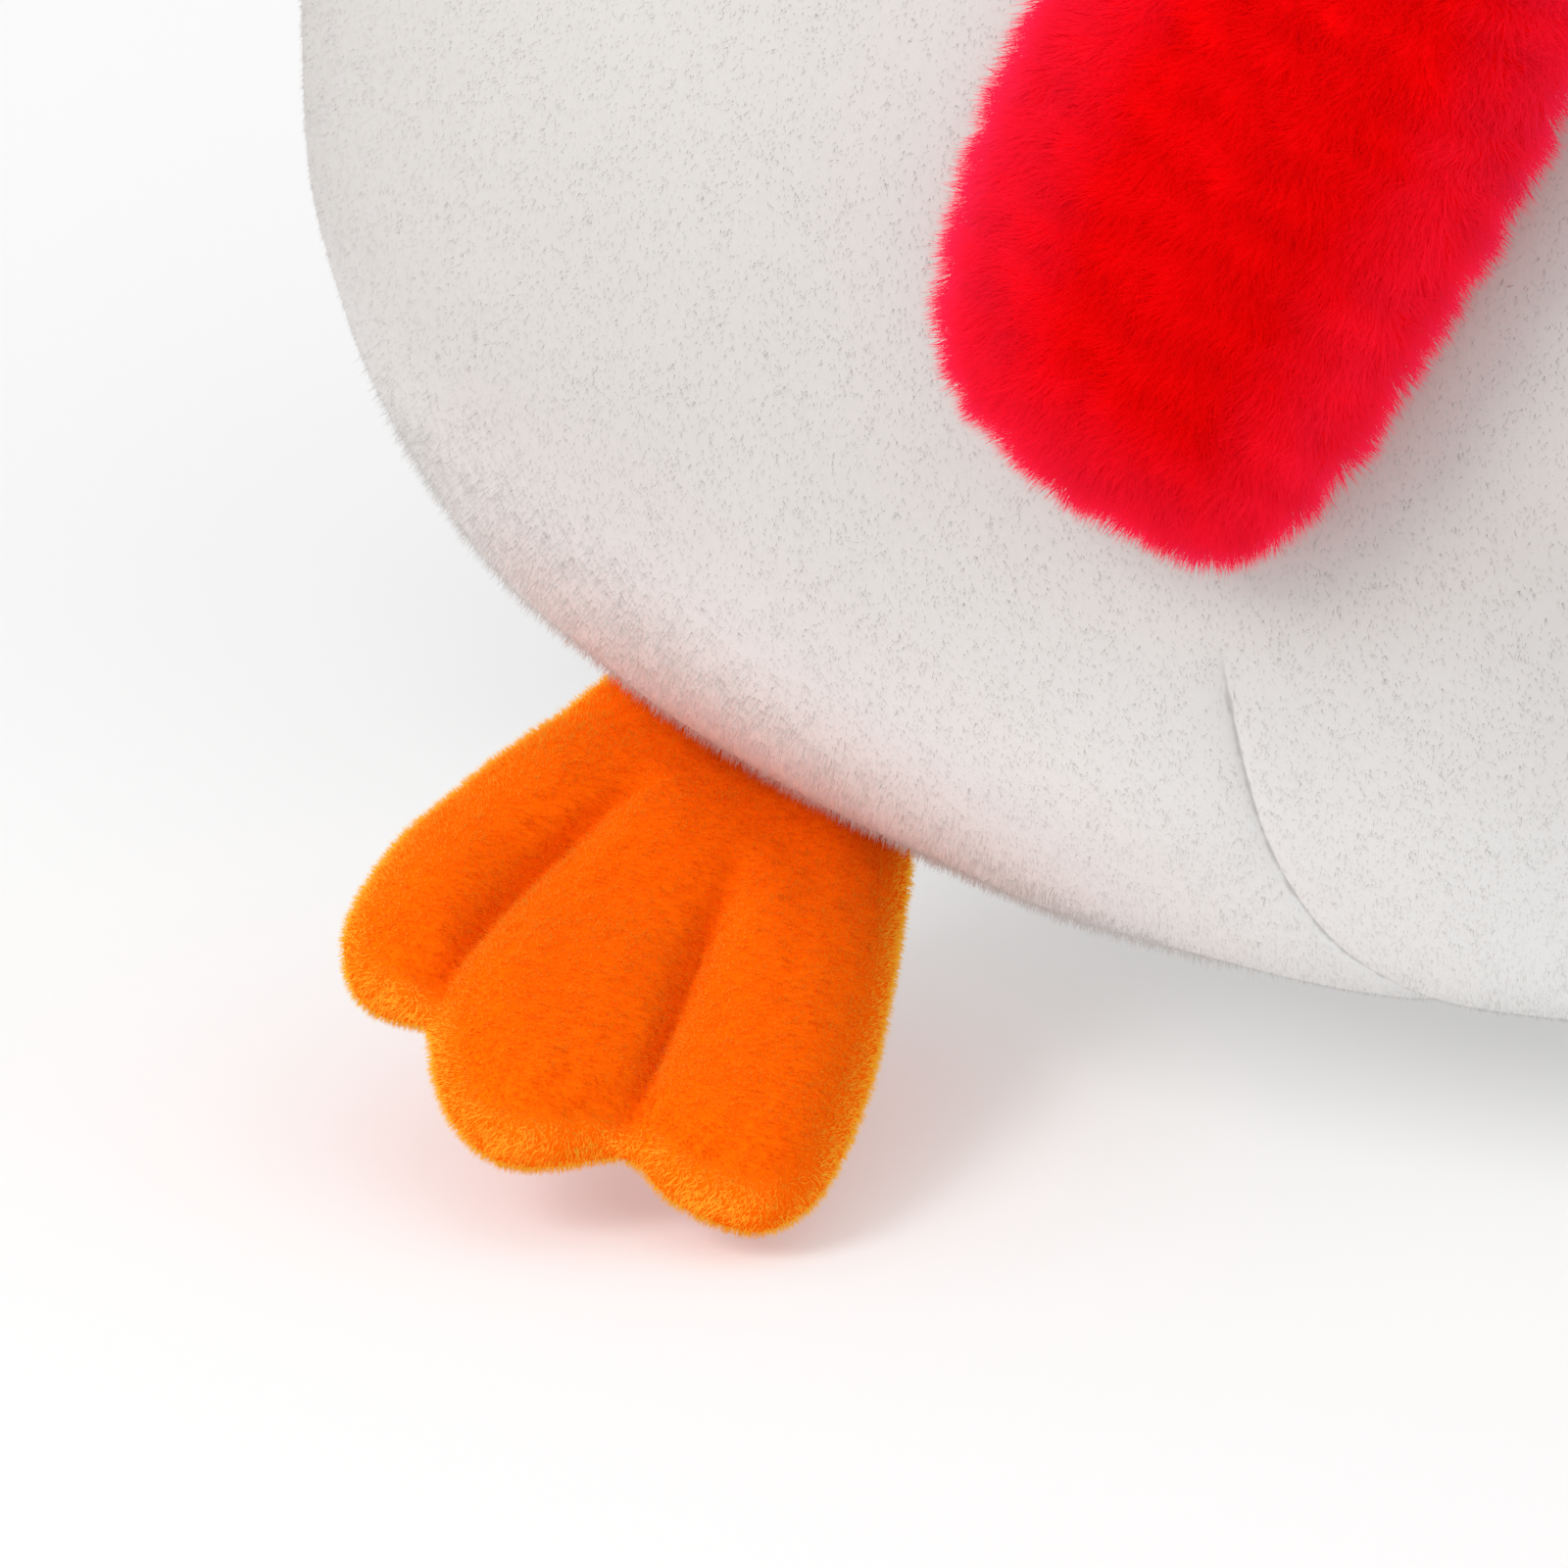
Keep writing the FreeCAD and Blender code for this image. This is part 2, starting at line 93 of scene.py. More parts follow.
def points_of(piece):
    """Vertex places in millimetres."""
    flat = np.empty(len(piece.data.vertices) * 3, np.float32)
    piece.data.vertices.foreach_get("co", flat)
    return flat.reshape(-1, 3).astype(float) / MM


def normals_of(piece):
    flat = np.empty(len(piece.data.vertices) * 3, np.float32)
    piece.data.vertex_normals.foreach_get("vector", flat)
    return flat.reshape(-1, 3).astype(float)


def move_points(piece, points):
    piece.data.vertices.foreach_set("co", (np.asarray(points) * MM).astype(np.float32).ravel())
    piece.data.update()


def finish_modifier(piece, kind, **settings):
    """Adds a modifier and applies it at once."""
    pick(piece)
    modifier = piece.modifiers.new(kind.title(), kind)
    for key, value in settings.items():
        setattr(modifier, key, value)
    bpy.ops.object.modifier_apply(modifier=modifier.name)


def edit(piece, *steps):
    """Runs edit-mode operators on everything in a piece."""
    pick(piece)
    bpy.ops.object.mode_set(mode="EDIT")
    bpy.ops.mesh.select_all(action="SELECT")
    for operator, settings in steps:
        operator(**settings)
    bpy.ops.object.mode_set(mode="OBJECT")


def outward(piece):
    edit(piece, (bpy.ops.mesh.normals_make_consistent, {"inside": False}))


def copy_of(piece, name):
    twin = piece.copy()
    twin.data = piece.data.copy()
    twin.name = twin.data.name = name
    bpy.context.scene.collection.objects.link(twin)
    return twin


def remove(piece):
    bpy.data.objects.remove(piece)


def smooth(piece):
    pick(piece)
    bpy.ops.object.shade_smooth()


def keep_side(piece, point, normal):
    """Cuts a piece with a plane and drops what lies on the normal's side."""
    co, no = Vector(point) * MM, Vector(normal)
    cut = {"plane_co": co, "plane_no": no, "clear_outer": True, "use_fill": False, "threshold": 1e-6}
    edit(piece, (bpy.ops.mesh.bisect, cut))


def unit(vectors):
    return vectors / np.maximum(np.linalg.norm(vectors, axis=1, keepdims=True), 1e-9)


def hill(distance, width):
    """A smooth bump of height 1 at distance 0."""
    return np.exp(-((np.asarray(distance) / width) ** 2))


def ramp(value, low, high):
    """Smoothly from 0 at low to 1 at high."""
    share = np.clip((value - low) / (high - low), 0.0, 1.0)
    return share * share * (3.0 - 2.0 * share)


def ripple(points, wavelength, seed, waves=7):
    """Smooth unevenness in space, about -1 to 1, the same each run."""
    rng = np.random.default_rng(seed)
    total = np.zeros(len(points))
    for _ in range(waves):
        way = rng.normal(size=3)
        way *= 2 * math.pi / (wavelength * rng.uniform(0.7, 1.5)) / np.linalg.norm(way)
        total += np.sin(points @ way + rng.uniform(0, 2 * math.pi))
    return total / math.sqrt(waves) * 1.2


# --- round forms ---
def super_radius(z, wide_z, radius, reach, height_power, radius_power):
    share = np.clip(np.abs(z - wide_z) / reach, 0.0, 1.0)
    return radius * (1.0 - share**height_power) ** (1.0 / radius_power)


def body_radius(z, grow=0.0):
    z = np.asarray(z, float)
    low = super_radius(z, BODY_WIDE_Z, BODY_R + grow, BODY_DOWN + grow, 2.54, 1.52)
    high = super_radius(z, BODY_WIDE_Z, BODY_R + grow, BODY_UP + grow, 2.2, 1.9)
    return np.where(z < BODY_WIDE_Z, low, high)


def head_radius(z, grow=0.0):
    return super_radius(np.asarray(z, float), HEAD_Z, HEAD_R + grow, HEAD_HALF + grow, 2.3, 2.1)


def turned_form(name, radius_at, low, high, segments, rings):
    """A closed form turned about Z: a ball whose rings move out to a side curve of even steps."""
    bpy.ops.mesh.primitive_uv_sphere_add(segments=segments, ring_count=rings, radius=1)
    piece = fresh(name)
    ball = points_of(piece) * MM
    heights = (low + high) / 2 - (high - low) / 2 * np.cos(np.linspace(0, math.pi, 400))
    radii = radius_at(heights)
    side_r = np.concatenate([[0.0], radii, [0.0]])
    side_z = np.concatenate([[low], heights, [high]])
    along = np.concatenate([[0.0], np.cumsum(np.hypot(np.diff(side_r), np.diff(side_z)))])
    share = 1.0 - np.arccos(np.clip(ball[:, 2], -1, 1)) / math.pi
    radius = np.interp(share * along[-1], along, side_r)
    height = np.interp(share * along[-1], along, side_z)
    around = np.arctan2(ball[:, 1], ball[:, 0])
    move_points(piece, np.column_stack([radius * np.cos(around), radius * np.sin(around), height]))
    return piece


# --- flat stuffed forms, shaped inside an outline ---
def rounded_line(corners, count, closed=True):
    """An even, smooth line through a few corners (Catmull-Rom)."""
    p = np.asarray(corners, float)
    n = len(p)
    if closed:
        around = [p[(i + k) % n] for k in (-1, 0, 1, 2) for i in range(n)]
    else:
        q = np.vstack([2 * p[0] - p[1], p, 2 * p[-1] - p[-2]])
        n -= 1
        around = [q[i + k] for k in (0, 1, 2, 3) for i in range(n)]
    a, b, c, d = np.asarray(around).reshape(4, n, -1)
    steps = np.linspace(0, 1, 24, endpoint=False)[:, None, None]
    curve = 0.5 * (
        2 * b + (c - a) * steps + (2 * a - 5 * b + 4 * c - d) * steps**2 + (3 * b - a - 3 * c + d) * steps**3
    )
    line = curve.transpose(1, 0, 2).reshape(-1, p.shape[1])
    line = np.vstack([line, line[:1] if closed else p[-1:]])
    along = np.concatenate([[0], np.cumsum(np.linalg.norm(np.diff(line, axis=0), axis=1))])
    want = np.linspace(0, along[-1], count, endpoint=not closed)
    return np.column_stack([np.interp(want, along, line[:, k]) for k in range(p.shape[1])])


def distance_to_line(points, line, closed=False):
    """Distance in the plane from each point to a line of short runs."""
    ends = np.vstack([line[1:], line[:1]]) if closed else line[1:]
    starts = line if closed else line[:-1]
    best = np.full(len(points), 1e9)
    for a, b in zip(starts, ends):
        run = b - a
        t = np.clip(((points - a) @ run) / (run @ run), 0, 1)
        best = np.minimum(best, np.linalg.norm(points - a - t[:, None] * run, axis=1))
    return best


def pillow(name, outline, centre, segments, rings):
    """A ball pressed flat inside an outline. Returns it with each vertex's place in the plane,
    its distance in from the outline, and whether it is on the upper (1) or lower (-1) side."""
    bpy.ops.mesh.primitive_uv_sphere_add(segments=segments, ring_count=rings, radius=1)
    piece = fresh(name)
    ball = points_of(piece) * MM
    reach = np.hypot(ball[:, 0], ball[:, 1])
    around = np.arctan2(ball[:, 1], ball[:, 0])
    spokes = outline - centre
    angle = np.arctan2(spokes[:, 1], spokes[:, 0])
    order = np.argsort(angle)
    radius = np.interp(around, angle[order], np.hypot(*spokes.T)[order], period=2 * math.pi)
    plan = centre + np.column_stack([np.cos(around), np.sin(around)]) * (radius * reach)[:, None]
    inset = distance_to_line(plan, outline, closed=True)
    inset[reach > 0.9999] = 0.0
    return piece, plan, inset, np.where(ball[:, 2] >= 0, 1.0, -1.0)


def crown(inset, width):
    """Height share of a stuffed edge: round at the seam, level once it is width inside."""
    share = 1.0 - np.clip(inset / width, 0.0, 1.0)
    return np.sqrt(np.maximum(1.0 - share**2, 0.0))


def limb_axes(turn, root, side):
    """Rows along the limb, across it and out of its upper face, and its root. side -1 is a mirror image."""
    yaw, pitch, roll = turn
    spin = Matrix.Rotation(math.radians(yaw - 90), 3, "Z")
    spin = spin @ Matrix.Rotation(math.radians(pitch), 3, "Y") @ Matrix.Rotation(math.radians(roll), 3, "X")
    flip = np.array([side, 1.0, 1.0])
    return np.array(spin).T * flip, np.array(root) * flip


def place_limb(piece, plan, height, turn, root, side):
    axes, origin = limb_axes(turn, root, side)
    local = np.column_stack([plan, height])
    move_points(piece, origin + local @ axes)
    outward(piece)


def inflate(piece, pressure, cap):
    """Cloth simulation under inner pressure, with no point moving further than cap."""
    before = points_of(piece)
    pick(piece)
    cloth = piece.modifiers.new("Cloth", "CLOTH")
    cloth.settings.quality = 6
    cloth.settings.mass = 0.15
    cloth.settings.use_pressure = True
    cloth.settings.uniform_pressure_force = pressure
    cloth.settings.effector_weights.gravity = 0.0
    cloth.collision_settings.use_collision = False
    for step in range(1, 15):
        bpy.context.scene.frame_set(step)
    swollen = piece.evaluated_get(bpy.context.evaluated_depsgraph_get()).to_mesh()
    after = np.empty(len(swollen.vertices) * 3, np.float32)
    swollen.vertices.foreach_get("co", after)
    piece.modifiers.remove(cloth)
    bpy.context.scene.frame_set(1)
    moved = after.reshape(-1, 3) / MM - before
    size = np.maximum(np.linalg.norm(moved, axis=1, keepdims=True), 1e-9)
    move_points(piece, before + moved / size * np.minimum(size, cap))


# --- pile ---
def scatter(ground, count, where, rng):
    """Even random roots on a piece's surface and the way out of it there. where weights the places."""
    mesh = ground.data
    mesh.calc_loop_triangles()
    corners = np.empty(len(mesh.loop_triangles) * 3, np.int32)
    mesh.loop_triangles.foreach_get("vertices", corners)
    corners = corners.reshape(-1, 3)
    places, normals = points_of(ground), normals_of(ground)
    a, b, c = (places[corners[:, k]] for k in range(3))
    share = np.linalg.norm(np.cross(b - a, c - a), axis=1)
    if where is not None:
        share = share * where((a + b + c) / 3)
    chosen = rng.choice(len(corners), size=count, p=share / share.sum())
    s, t = np.sqrt(rng.random(count)), rng.random(count)
    mix = np.column_stack([1 - s, s * (1 - t), s * t])[:, :, None]
    root = (places[corners[chosen]] * mix).sum(1)
    return root, unit((normals[corners[chosen]] * mix).sum(1))


def blades(name, points, lit, shades):
    """A piece of loose triangles, three points each, with shades stored at the points."""
    count = len(points) // 3
    hair = bpy.data.meshes.new(name)
    hair.vertices.add(len(points))
    hair.vertices.foreach_set("co", (points * MM).astype(np.float32).ravel())
    hair.loops.add(len(points))
    hair.loops.foreach_set("vertex_index", np.arange(len(points), dtype=np.int32))
    hair.polygons.add(count)
    hair.polygons.foreach_set("loop_start", np.arange(0, len(points), 3, dtype=np.int32))
    hair.update(calc_edges=True)
    for key, values in shades.items():
        hair.attributes.new(key, "FLOAT", "POINT").data.foreach_set("value", values.astype(np.float32))
    hair.normals_split_custom_set_from_vertices(np.repeat(lit, 3, axis=0))
    piece = bpy.data.objects.new(name, hair)
    bpy.context.scene.collection.objects.link(piece)
    return piece


def pile(
    name, ground, count, *, length, width, lean, comb, stray, seed, clump, clump_size, where=None, rim=None
):
    """Loose fibres rooted on a piece: thin blades that lean along the nap. Sizes are in millimetres,
    lean in degrees from upright.

    comb gives the nap's direction at each root, stray how far fibres swing from it (radians), clump
    how far neighbours swing together, and rim how near a root is to the piece's edge, which weights
    a painted highlight along the outline."""
    rng = np.random.default_rng(seed)
    root, up = scatter(ground, count, where, rng)
    nap = comb(root)
    nap = unit(nap - (nap * up).sum(1, keepdims=True) * up)
    side = np.cross(up, nap)
    swing = rng.normal(0, stray, count) + clump * ripple(root, clump_size, seed + 1)
    way = nap * np.cos(swing)[:, None] + side * np.sin(swing)[:, None]
    together = 1 + 0.25 * clump * ripple(root, clump_size, seed + 2)
    tilt = np.radians(lean) * together + rng.normal(0, 0.13, count)
    tilt = np.clip(tilt, 0.2, 1.45)[:, None]
    rise = up * np.cos(tilt) + way * np.sin(tilt)
    across = unit(np.cross(rise, up)) * (width * rng.uniform(0.6, 1.2, count) / 2)[:, None]
    reach = (length * rng.uniform(0.65, 1.15, count))[:, None]
    edge = np.zeros(count) if rim is None else rim(root)
    root = root - up * ROOT_DEPTH
    points = np.stack([root - across, root + across, root + rise * reach], 1).reshape(-1, 3)
    shades = {
        "tip": np.tile([0.0, 0.0, 1.0], count),
        "tone": np.repeat(rng.random(count), 3),
        "rim": np.repeat(edge, 3),
    }
    return blades(name, points, unit(up * 0.8 + rise * 0.35), shades)


def steady(way):
    """Nap that runs one way all over a piece."""
    return lambda points: np.tile(np.asarray(way, float), (len(points), 1))


downward = steady((0.0, 0.0, -1.0))


# --- shader maths ---
class Socket:
    """A node socket whose arithmetic adds Math nodes."""

    def __init__(self, tree, link):
        self.tree, self.link = tree, link

    def maths(self, operation, *others):
        values = {i: v for i, v in enumerate((self, *others))}
        return self.tree.node("ShaderNodeMath", {"operation": operation}, values)

    def __add__(self, other):
        return self.maths("ADD", other)

    def __sub__(self, other):
        return self.maths("SUBTRACT", other)

    def __rsub__(self, other):
        return (self * -1.0).maths("ADD", other)

    def __mul__(self, other):
        return self.maths("MULTIPLY", other)

    def __truediv__(self, other):
        return self.maths("DIVIDE", other)

    def __abs__(self):
        return self.maths("ABSOLUTE")

    __radd__, __rmul__ = __add__, __mul__

    def clamp(self):
        return self.maths("MINIMUM", 1.0).maths("MAXIMUM", 0.0)


class Finish:
    """A material and its node tree."""

    def __init__(self, name, slot):
        self.material = bpy.data.materials.new(name)
        self.material.use_nodes = True
        self.tree = self.material.node_tree
        self.shader = self.tree.nodes["Principled BSDF"]
        self.slot = slot

    def node(self, kind, settings=None, inputs=None, output=0):
        node = self.tree.nodes.new(kind)
        for key, value in (settings or {}).items():
            setattr(node, key, value)
        for key, value in (inputs or {}).items():
            self.set(node.inputs[key], value)
        return Socket(self, node.outputs[output])

    def set(self, socket, value):
        if isinstance(value, Socket):
            self.tree.links.new(value.link, socket)
        else:
            socket.default_value = value

    def surface(self, **values):
        for key, value in values.items():
            self.set(self.shader.inputs[key.replace("_", " ")], value)

    def place(self):
        return self.node("ShaderNodeTexCoord", output="Object")

    def stretched(self, place, scale):
        return self.node("ShaderNodeMapping", None, {"Vector": place, "Scale": scale})

    def noise(self, place, scale, detail=2.0, roughness=0.5):
        inputs = {"Vector": place, "Scale": scale, "Detail": detail, "Roughness": roughness}
        return self.node("ShaderNodeTexNoise", None, inputs)

    def mix(self, share, a, b):
        """From colour a at share 0 to colour b at share 1, each a tuple or a socket."""
        a, b = ((*colour, 1) if isinstance(colour, tuple) else colour for colour in (a, b))
        return self.node("ShaderNodeMix", {"data_type": "RGBA"}, {"Factor": share, 6: a, 7: b}, output=2)

    def parts(self, place):
        split = self.tree.nodes.new("ShaderNodeSeparateXYZ")
        self.set(split.inputs[0], place)
        return [Socket(self, split.outputs[i]) for i in range(3)]

    def bump(self, height, distance, strength):
        inputs = {"Height": height, "Distance": distance, "Strength": strength}
        return self.node("ShaderNodeBump", None, inputs)

    def dress(self, *pieces):
        for piece in pieces:
            piece.data.materials.clear()
            piece.data.materials.append(self.material)


def soft_surface(finish, sheen, tint):
    finish.surface(Roughness=0.95, Sheen_Weight=sheen, Sheen_Roughness=0.5, Sheen_Tint=(*tint, 1))
    finish.surface(Specular_IOR_Level=0.0)


def painted_low_light(finish, colour, low_light_colour):
    """Plush that gets lighter towards the base: painted light from below, standing in for the light the floor
    throws up onto the underside.
    """
    if low_light_colour is None:
        return colour
    # painted light from below: the colour turns lighter from 90 mm height down to 25 mm
    low = ((0.09 - finish.parts(finish.place())[2]) / 0.065).clamp()
    return finish.mix(low * low * (3.0 - low * 2.0), colour, low_light_colour)


def plush_cloth(name, slot, deep, light, tint, nap=(1.0, 1.0, 0.4), sheen=0.1, line=None, low_light_colour=None):
    """The cloth under and between the pile: brushed grain that runs with the nap, and soft mottling."""
    finish = Finish(name, slot)
    place = finish.place()
    strands = finish.noise(finish.stretched(place, nap), 2600.0, 3.0, 0.65)
    tufts = finish.noise(finish.stretched(place, nap), 900.0, 2.0)
    clouds = finish.noise(place, 50.0, 2.0)
    share = (strands - 0.5) * 0.9 + (tufts - 0.5) * 0.5 + (clouds - 0.5) * 0.35 + 0.55
    colour = painted_low_light(finish, finish.mix(share.clamp(), deep, light), low_light_colour)
    if line is not None:
        colour = finish.mix(line(finish, place), colour, tuple(v * 0.45 for v in deep))
    finish.surface(Base_Color=colour)
    finish.surface(Normal=finish.bump(strands * 0.6 + tufts * 0.6, 0.0002, 0.12))
    soft_surface(finish, sheen, tint)
    return finish


def fibre(name, slot, root, tip, rim, tint, painted_glow=None, through_share=0.45, low_light_colour=None):
    """The loose fibres of a pile: deeper at the root, lighter at the tip and near the piece's outline, each a
    little different, and letting part of the light through. The lighter colour near the outline is a painted
    highlight, and the glow colour, when given, a painted glow: emission, strongest near the outline, that
    stands in for the light a dense, saturated pile passes from fibre to fibre."""
    finish = Finish(name, slot)
    along = finish.node("ShaderNodeAttribute", {"attribute_name": "tip"}, output="Fac")
    tone = finish.node("ShaderNodeAttribute", {"attribute_name": "tone"}, output="Fac")
    rim_highlight_share = finish.node("ShaderNodeAttribute", {"attribute_name": "rim"}, output="Fac")
    colour = painted_low_light(finish, finish.mix(((along * 0.75) + (tone * 0.5) - 0.12).clamp(), root, tip), low_light_colour)
    # Painted highlight: near the outline the fibres take the lighter edge colour.
    rim_highlight_mix = ((along * 0.7 + 0.3) * rim_highlight_share).clamp()
    finish.surface(Base_Color=finish.mix(rim_highlight_mix, colour, rim))
    soft_surface(finish, 0.05, tint)
    # Painted glow: emission that gives the pile light of its own.
    if painted_glow:
        finish.surface(Emission_Color=finish.mix(rim_highlight_mix, painted_glow, rim), Emission_Strength=0.4)
    through = finish.node("ShaderNodeBsdfTranslucent", None, {"Color": (*rim, 1)})
    front = Socket(finish, finish.shader.outputs[0])
    both = finish.node("ShaderNodeMixShader", None, {0: through_share, 1: front, 2: through})
    finish.set(finish.tree.nodes["Material Output"].inputs["Surface"], both)
    return finish


def plain_finish(name, slot, deep, light, scale, roughness, bump=0.0, coat=0.0):
    """Small hard or woven parts: gentle mottling and a fine surface."""
    finish = Finish(name, slot)
    place = finish.place()
    grain = finish.noise(place, scale, 3.0)
    finish.surface(Base_Color=finish.mix(grain, deep, light), Roughness=roughness)
    finish.surface(Coat_Weight=coat, Coat_Roughness=0.05)
    if bump:
        finish.surface(Normal=finish.bump(grain, bump, 0.5))
    return finish


def dart_line(finish, place):
    """A thin dark line where each dart is sewn, fading out at its top."""
    x, y, z = finish.parts(place)
    turn = math.radians(DART_AZIMUTH)
    off = abs(abs(x) * math.cos(turn) + y * math.sin(turn))
    wander = finish.noise(place, 260.0) - 0.5
    near = 1.1 - wander * 1.5 - (abs(off + wander * 0.0005) / 0.0003)
    below = (DART_TOP * MM - z) / 0.006
    front = (y * -1.0 - 0.02) / 0.002
    return near.clamp() * below.clamp() * front.clamp() * 0.4


PALE, NIGHT, FLAME, CHERRY = (1.0, 0.97, 0.95), (0.5, 0.55, 0.65), (1.0, 0.4, 0.02), (1.0, 0.02, 0.05)
# The belly plush and its pile turn lighter towards the base: painted light from below.
BELLY = plush_cloth(
    "belly plush", "belly_plush", (0.535, 0.512, 0.495), (0.585, 0.562, 0.545), PALE,
    line=dart_line, low_light_colour=(0.84, 0.84, 0.83),
)
BELLY_PILE = fibre(
    "belly pile", "belly_plush", root=(0.55, 0.527, 0.51), tip=(0.61, 0.587, 0.57), rim=(0.64, 0.617, 0.6),
    tint=PALE, through_share=0.6, low_light_colour=(0.86, 0.86, 0.85),
)
# The fringe's lighter colours and its emission are painted light: a painted glow on the fuzz over the feet.
BELLY_FRINGE = fibre(
    "belly fringe", "belly_plush", root=(0.6, 0.59, 0.58), tip=(0.8, 0.79, 0.78), rim=(0.8, 0.79, 0.78),
    tint=PALE, painted_glow=(0.34, 0.33, 0.32), through_share=0.6,
)
BACK = plush_cloth("back plush", "back_plush", (0.018, 0.02, 0.026), (0.05, 0.054, 0.066), NIGHT)
BACK_PILE = fibre(
    "back pile", "back_plush", root=(0.02, 0.022, 0.028), tip=(0.07, 0.075, 0.09), rim=(0.07, 0.075, 0.09),
    tint=NIGHT,
)
ORANGE = plush_cloth(
    "orange plush", "orange_plush", (0.95, 0.11, 0.001), (1.0, 0.18, 0.002), FLAME, nap=(1.0, 1.0, 1.0)
)
# The orange pile's yellow edge colour is a painted highlight along the outlines, and its emission a painted
# glow.
ORANGE_PILE = fibre(
    "orange pile", "orange_plush", root=(0.98, 0.085, 0.001), tip=(1.0, 0.27, 0.005), rim=(1.0, 0.70, 0.05),
    tint=FLAME, painted_glow=(0.32, 0.024, 0.0),
)
RED = plush_cloth("scarf fleece", "scarf_plush", (0.9, 0.001, 0.002), (1.0, 0.004, 0.008), CHERRY)
# The scarf pile's pink edge colour is a painted highlight along the outlines, and its emission a painted glow.
RED_PILE = fibre(
    "scarf pile", "scarf_plush", root=(0.88, 0.001, 0.001), tip=(1.0, 0.004, 0.006), rim=(1.0, 0.04, 0.15),
    tint=CHERRY, painted_glow=(0.36, 0.0, 0.0),
)
FILL = plain_finish("fibre fill", "fibre_fill", (0.8, 0.8, 0.79), (0.95, 0.95, 0.94), 400.0, 0.95, 0.001)
POUCH = plain_finish("pouch cloth", "pouch_cloth", (0.6, 0.6, 0.58), (0.8, 0.8, 0.78), 900.0, 0.9, 0.0002)
PELLETS = plain_finish("pellets", "pellets", (0.6, 0.6, 0.58), (0.88, 0.88, 0.86), 350.0, 0.35, 0.001)
BASE = plain_finish("base cloth", "base_cloth", (0.55, 0.53, 0.51), (0.74, 0.72, 0.70), 1200.0, 0.9, 0.0002)
WASHER = plain_finish("washer plastic", "washer_plastic", (0.8, 0.8, 0.78), (0.9, 0.9, 0.88), 200.0, 0.4)
EYE = plain_finish(
    "eye plastic", "eye_plastic", (0.004, 0.004, 0.005), (0.008, 0.008, 0.01), 300.0, 0.1, coat=0.15
)
EYE.surface(Specular_IOR_Level=0.3)
LABEL = plain_finish(
    "label ribbon", "label_ribbon", (0.82, 0.81, 0.79), (0.92, 0.91, 0.89), 2500.0, 0.6, 0.0001
)
DARK_THREAD = plain_finish(
    "dark thread", "dark_thread", (0.02, 0.02, 0.025), (0.06, 0.06, 0.07), 2000.0, 0.8, 0.0002
)
ORANGE_THREAD = plain_finish(
    "orange thread", "orange_thread", (0.8, 0.09, 0.001), (0.95, 0.15, 0.003), 2000.0, 0.9, 0.0002
)

for node_name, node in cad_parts.items():
    if node_name.endswith("stuffing"):
        FILL.dress(node)
for finish, names in (
    (POUCH, ("pellet_pouch",)),
    (PELLETS, ("pellet_fill",)),
    (BASE, ("base_panel",)),
    (WASHER, ("eye_washer_left", "eye_washer_right")),
    (EYE, ("eye_left", "eye_right")),
    (LABEL, ("care_label",)),
    (DARK_THREAD, ("closing_stitches",)),
):
    finish.dress(*(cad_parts[n] for n in names))


# --- body ---
def past_side_seam(points):
    """Distance behind the slanting plane of the side seams."""
    tilt = math.radians(SIDE_SEAM_TILT)
    y, z = SIDE_SEAM_POINT
    return (points[:, 1] - y) * math.cos(tilt) + (points[:, 2] - z) * math.sin(tilt)


def off_darts(points):
    """Distance beside the nearer dart's line."""
    turn = math.radians(DART_AZIMUTH)
    return np.abs(np.abs(points[:, 0]) * math.cos(turn) + points[:, 1] * math.sin(turn))


def sewn_body(name):
    """The body's cloth with its seams pulled in and the unevenness of its fill."""
    body = turned_form(name, lambda z: body_radius(z, -PILE_SINK), PILE_SINK, NECK_Z - 1.0, 384, 150)
    p = points_of(body)
    push = ripple(p, 70.0, 11) * 0.35 + ripple(p, 26.0, 12) * 0.14
    push -= hill(past_side_seam(p), 2.2) * 1.3 + hill(past_side_seam(p), 8.0) * 0.5
    behind = ramp(p[:, 1], 0.0, 30.0)
    push -= (hill(p[:, 0], 2.0) * 1.2 + hill(p[:, 0], 8.0) * 0.4) * behind
    ring = np.hypot(p[:, 0], p[:, 1])
    push = np.maximum(push, -SEAM_DEPTH) * ramp(p[:, 2], 0.0, 6.0) * ramp(ring, 30.0, 40.0)
    move_points(body, p + normals_of(body) * push[:, None])
    return body


def press_darts(panel):
    """Cuts fine loops along each dart, then pulls the cloth in along it."""
    turn = math.radians(DART_AZIMUTH)
    loops = (-4.0, -2.6, -1.6, -0.9, -0.4, 0.0, 0.4, 0.9, 1.6, 2.6, 4.0)
    for side in (-1, 1):
        across = Vector((side * math.cos(turn), math.sin(turn), 0.0))
        for offset in loops:
            pick(panel)
            for face in panel.data.polygons:
                c = face.center / MM
                beside = abs(side * c[0] * math.cos(turn) + c[1] * math.sin(turn))
                face.select = bool(beside < 12 and c[1] < 0 and c[2] < DART_TOP + 14 and side * c[0] > 0)
            bpy.ops.object.mode_set(mode="EDIT")
            bpy.ops.mesh.bisect(plane_co=across * offset * MM, plane_no=across)
            bpy.ops.object.mode_set(mode="OBJECT")
    p = points_of(panel)
    off = off_darts(p)
    fade = ramp(DART_TOP - p[:, 2], -3.0, 12.0) * (p[:, 1] < 0) * ramp(np.hypot(p[:, 0], p[:, 1]), 36.0, 46.0)
    push = -(hill(off, 0.45) * 0.4 + hill(off, 2.4) * 0.45 + hill(off, 9.0) * 0.4) * fade
    move_points(panel, p + normals_of(panel) * push[:, None])


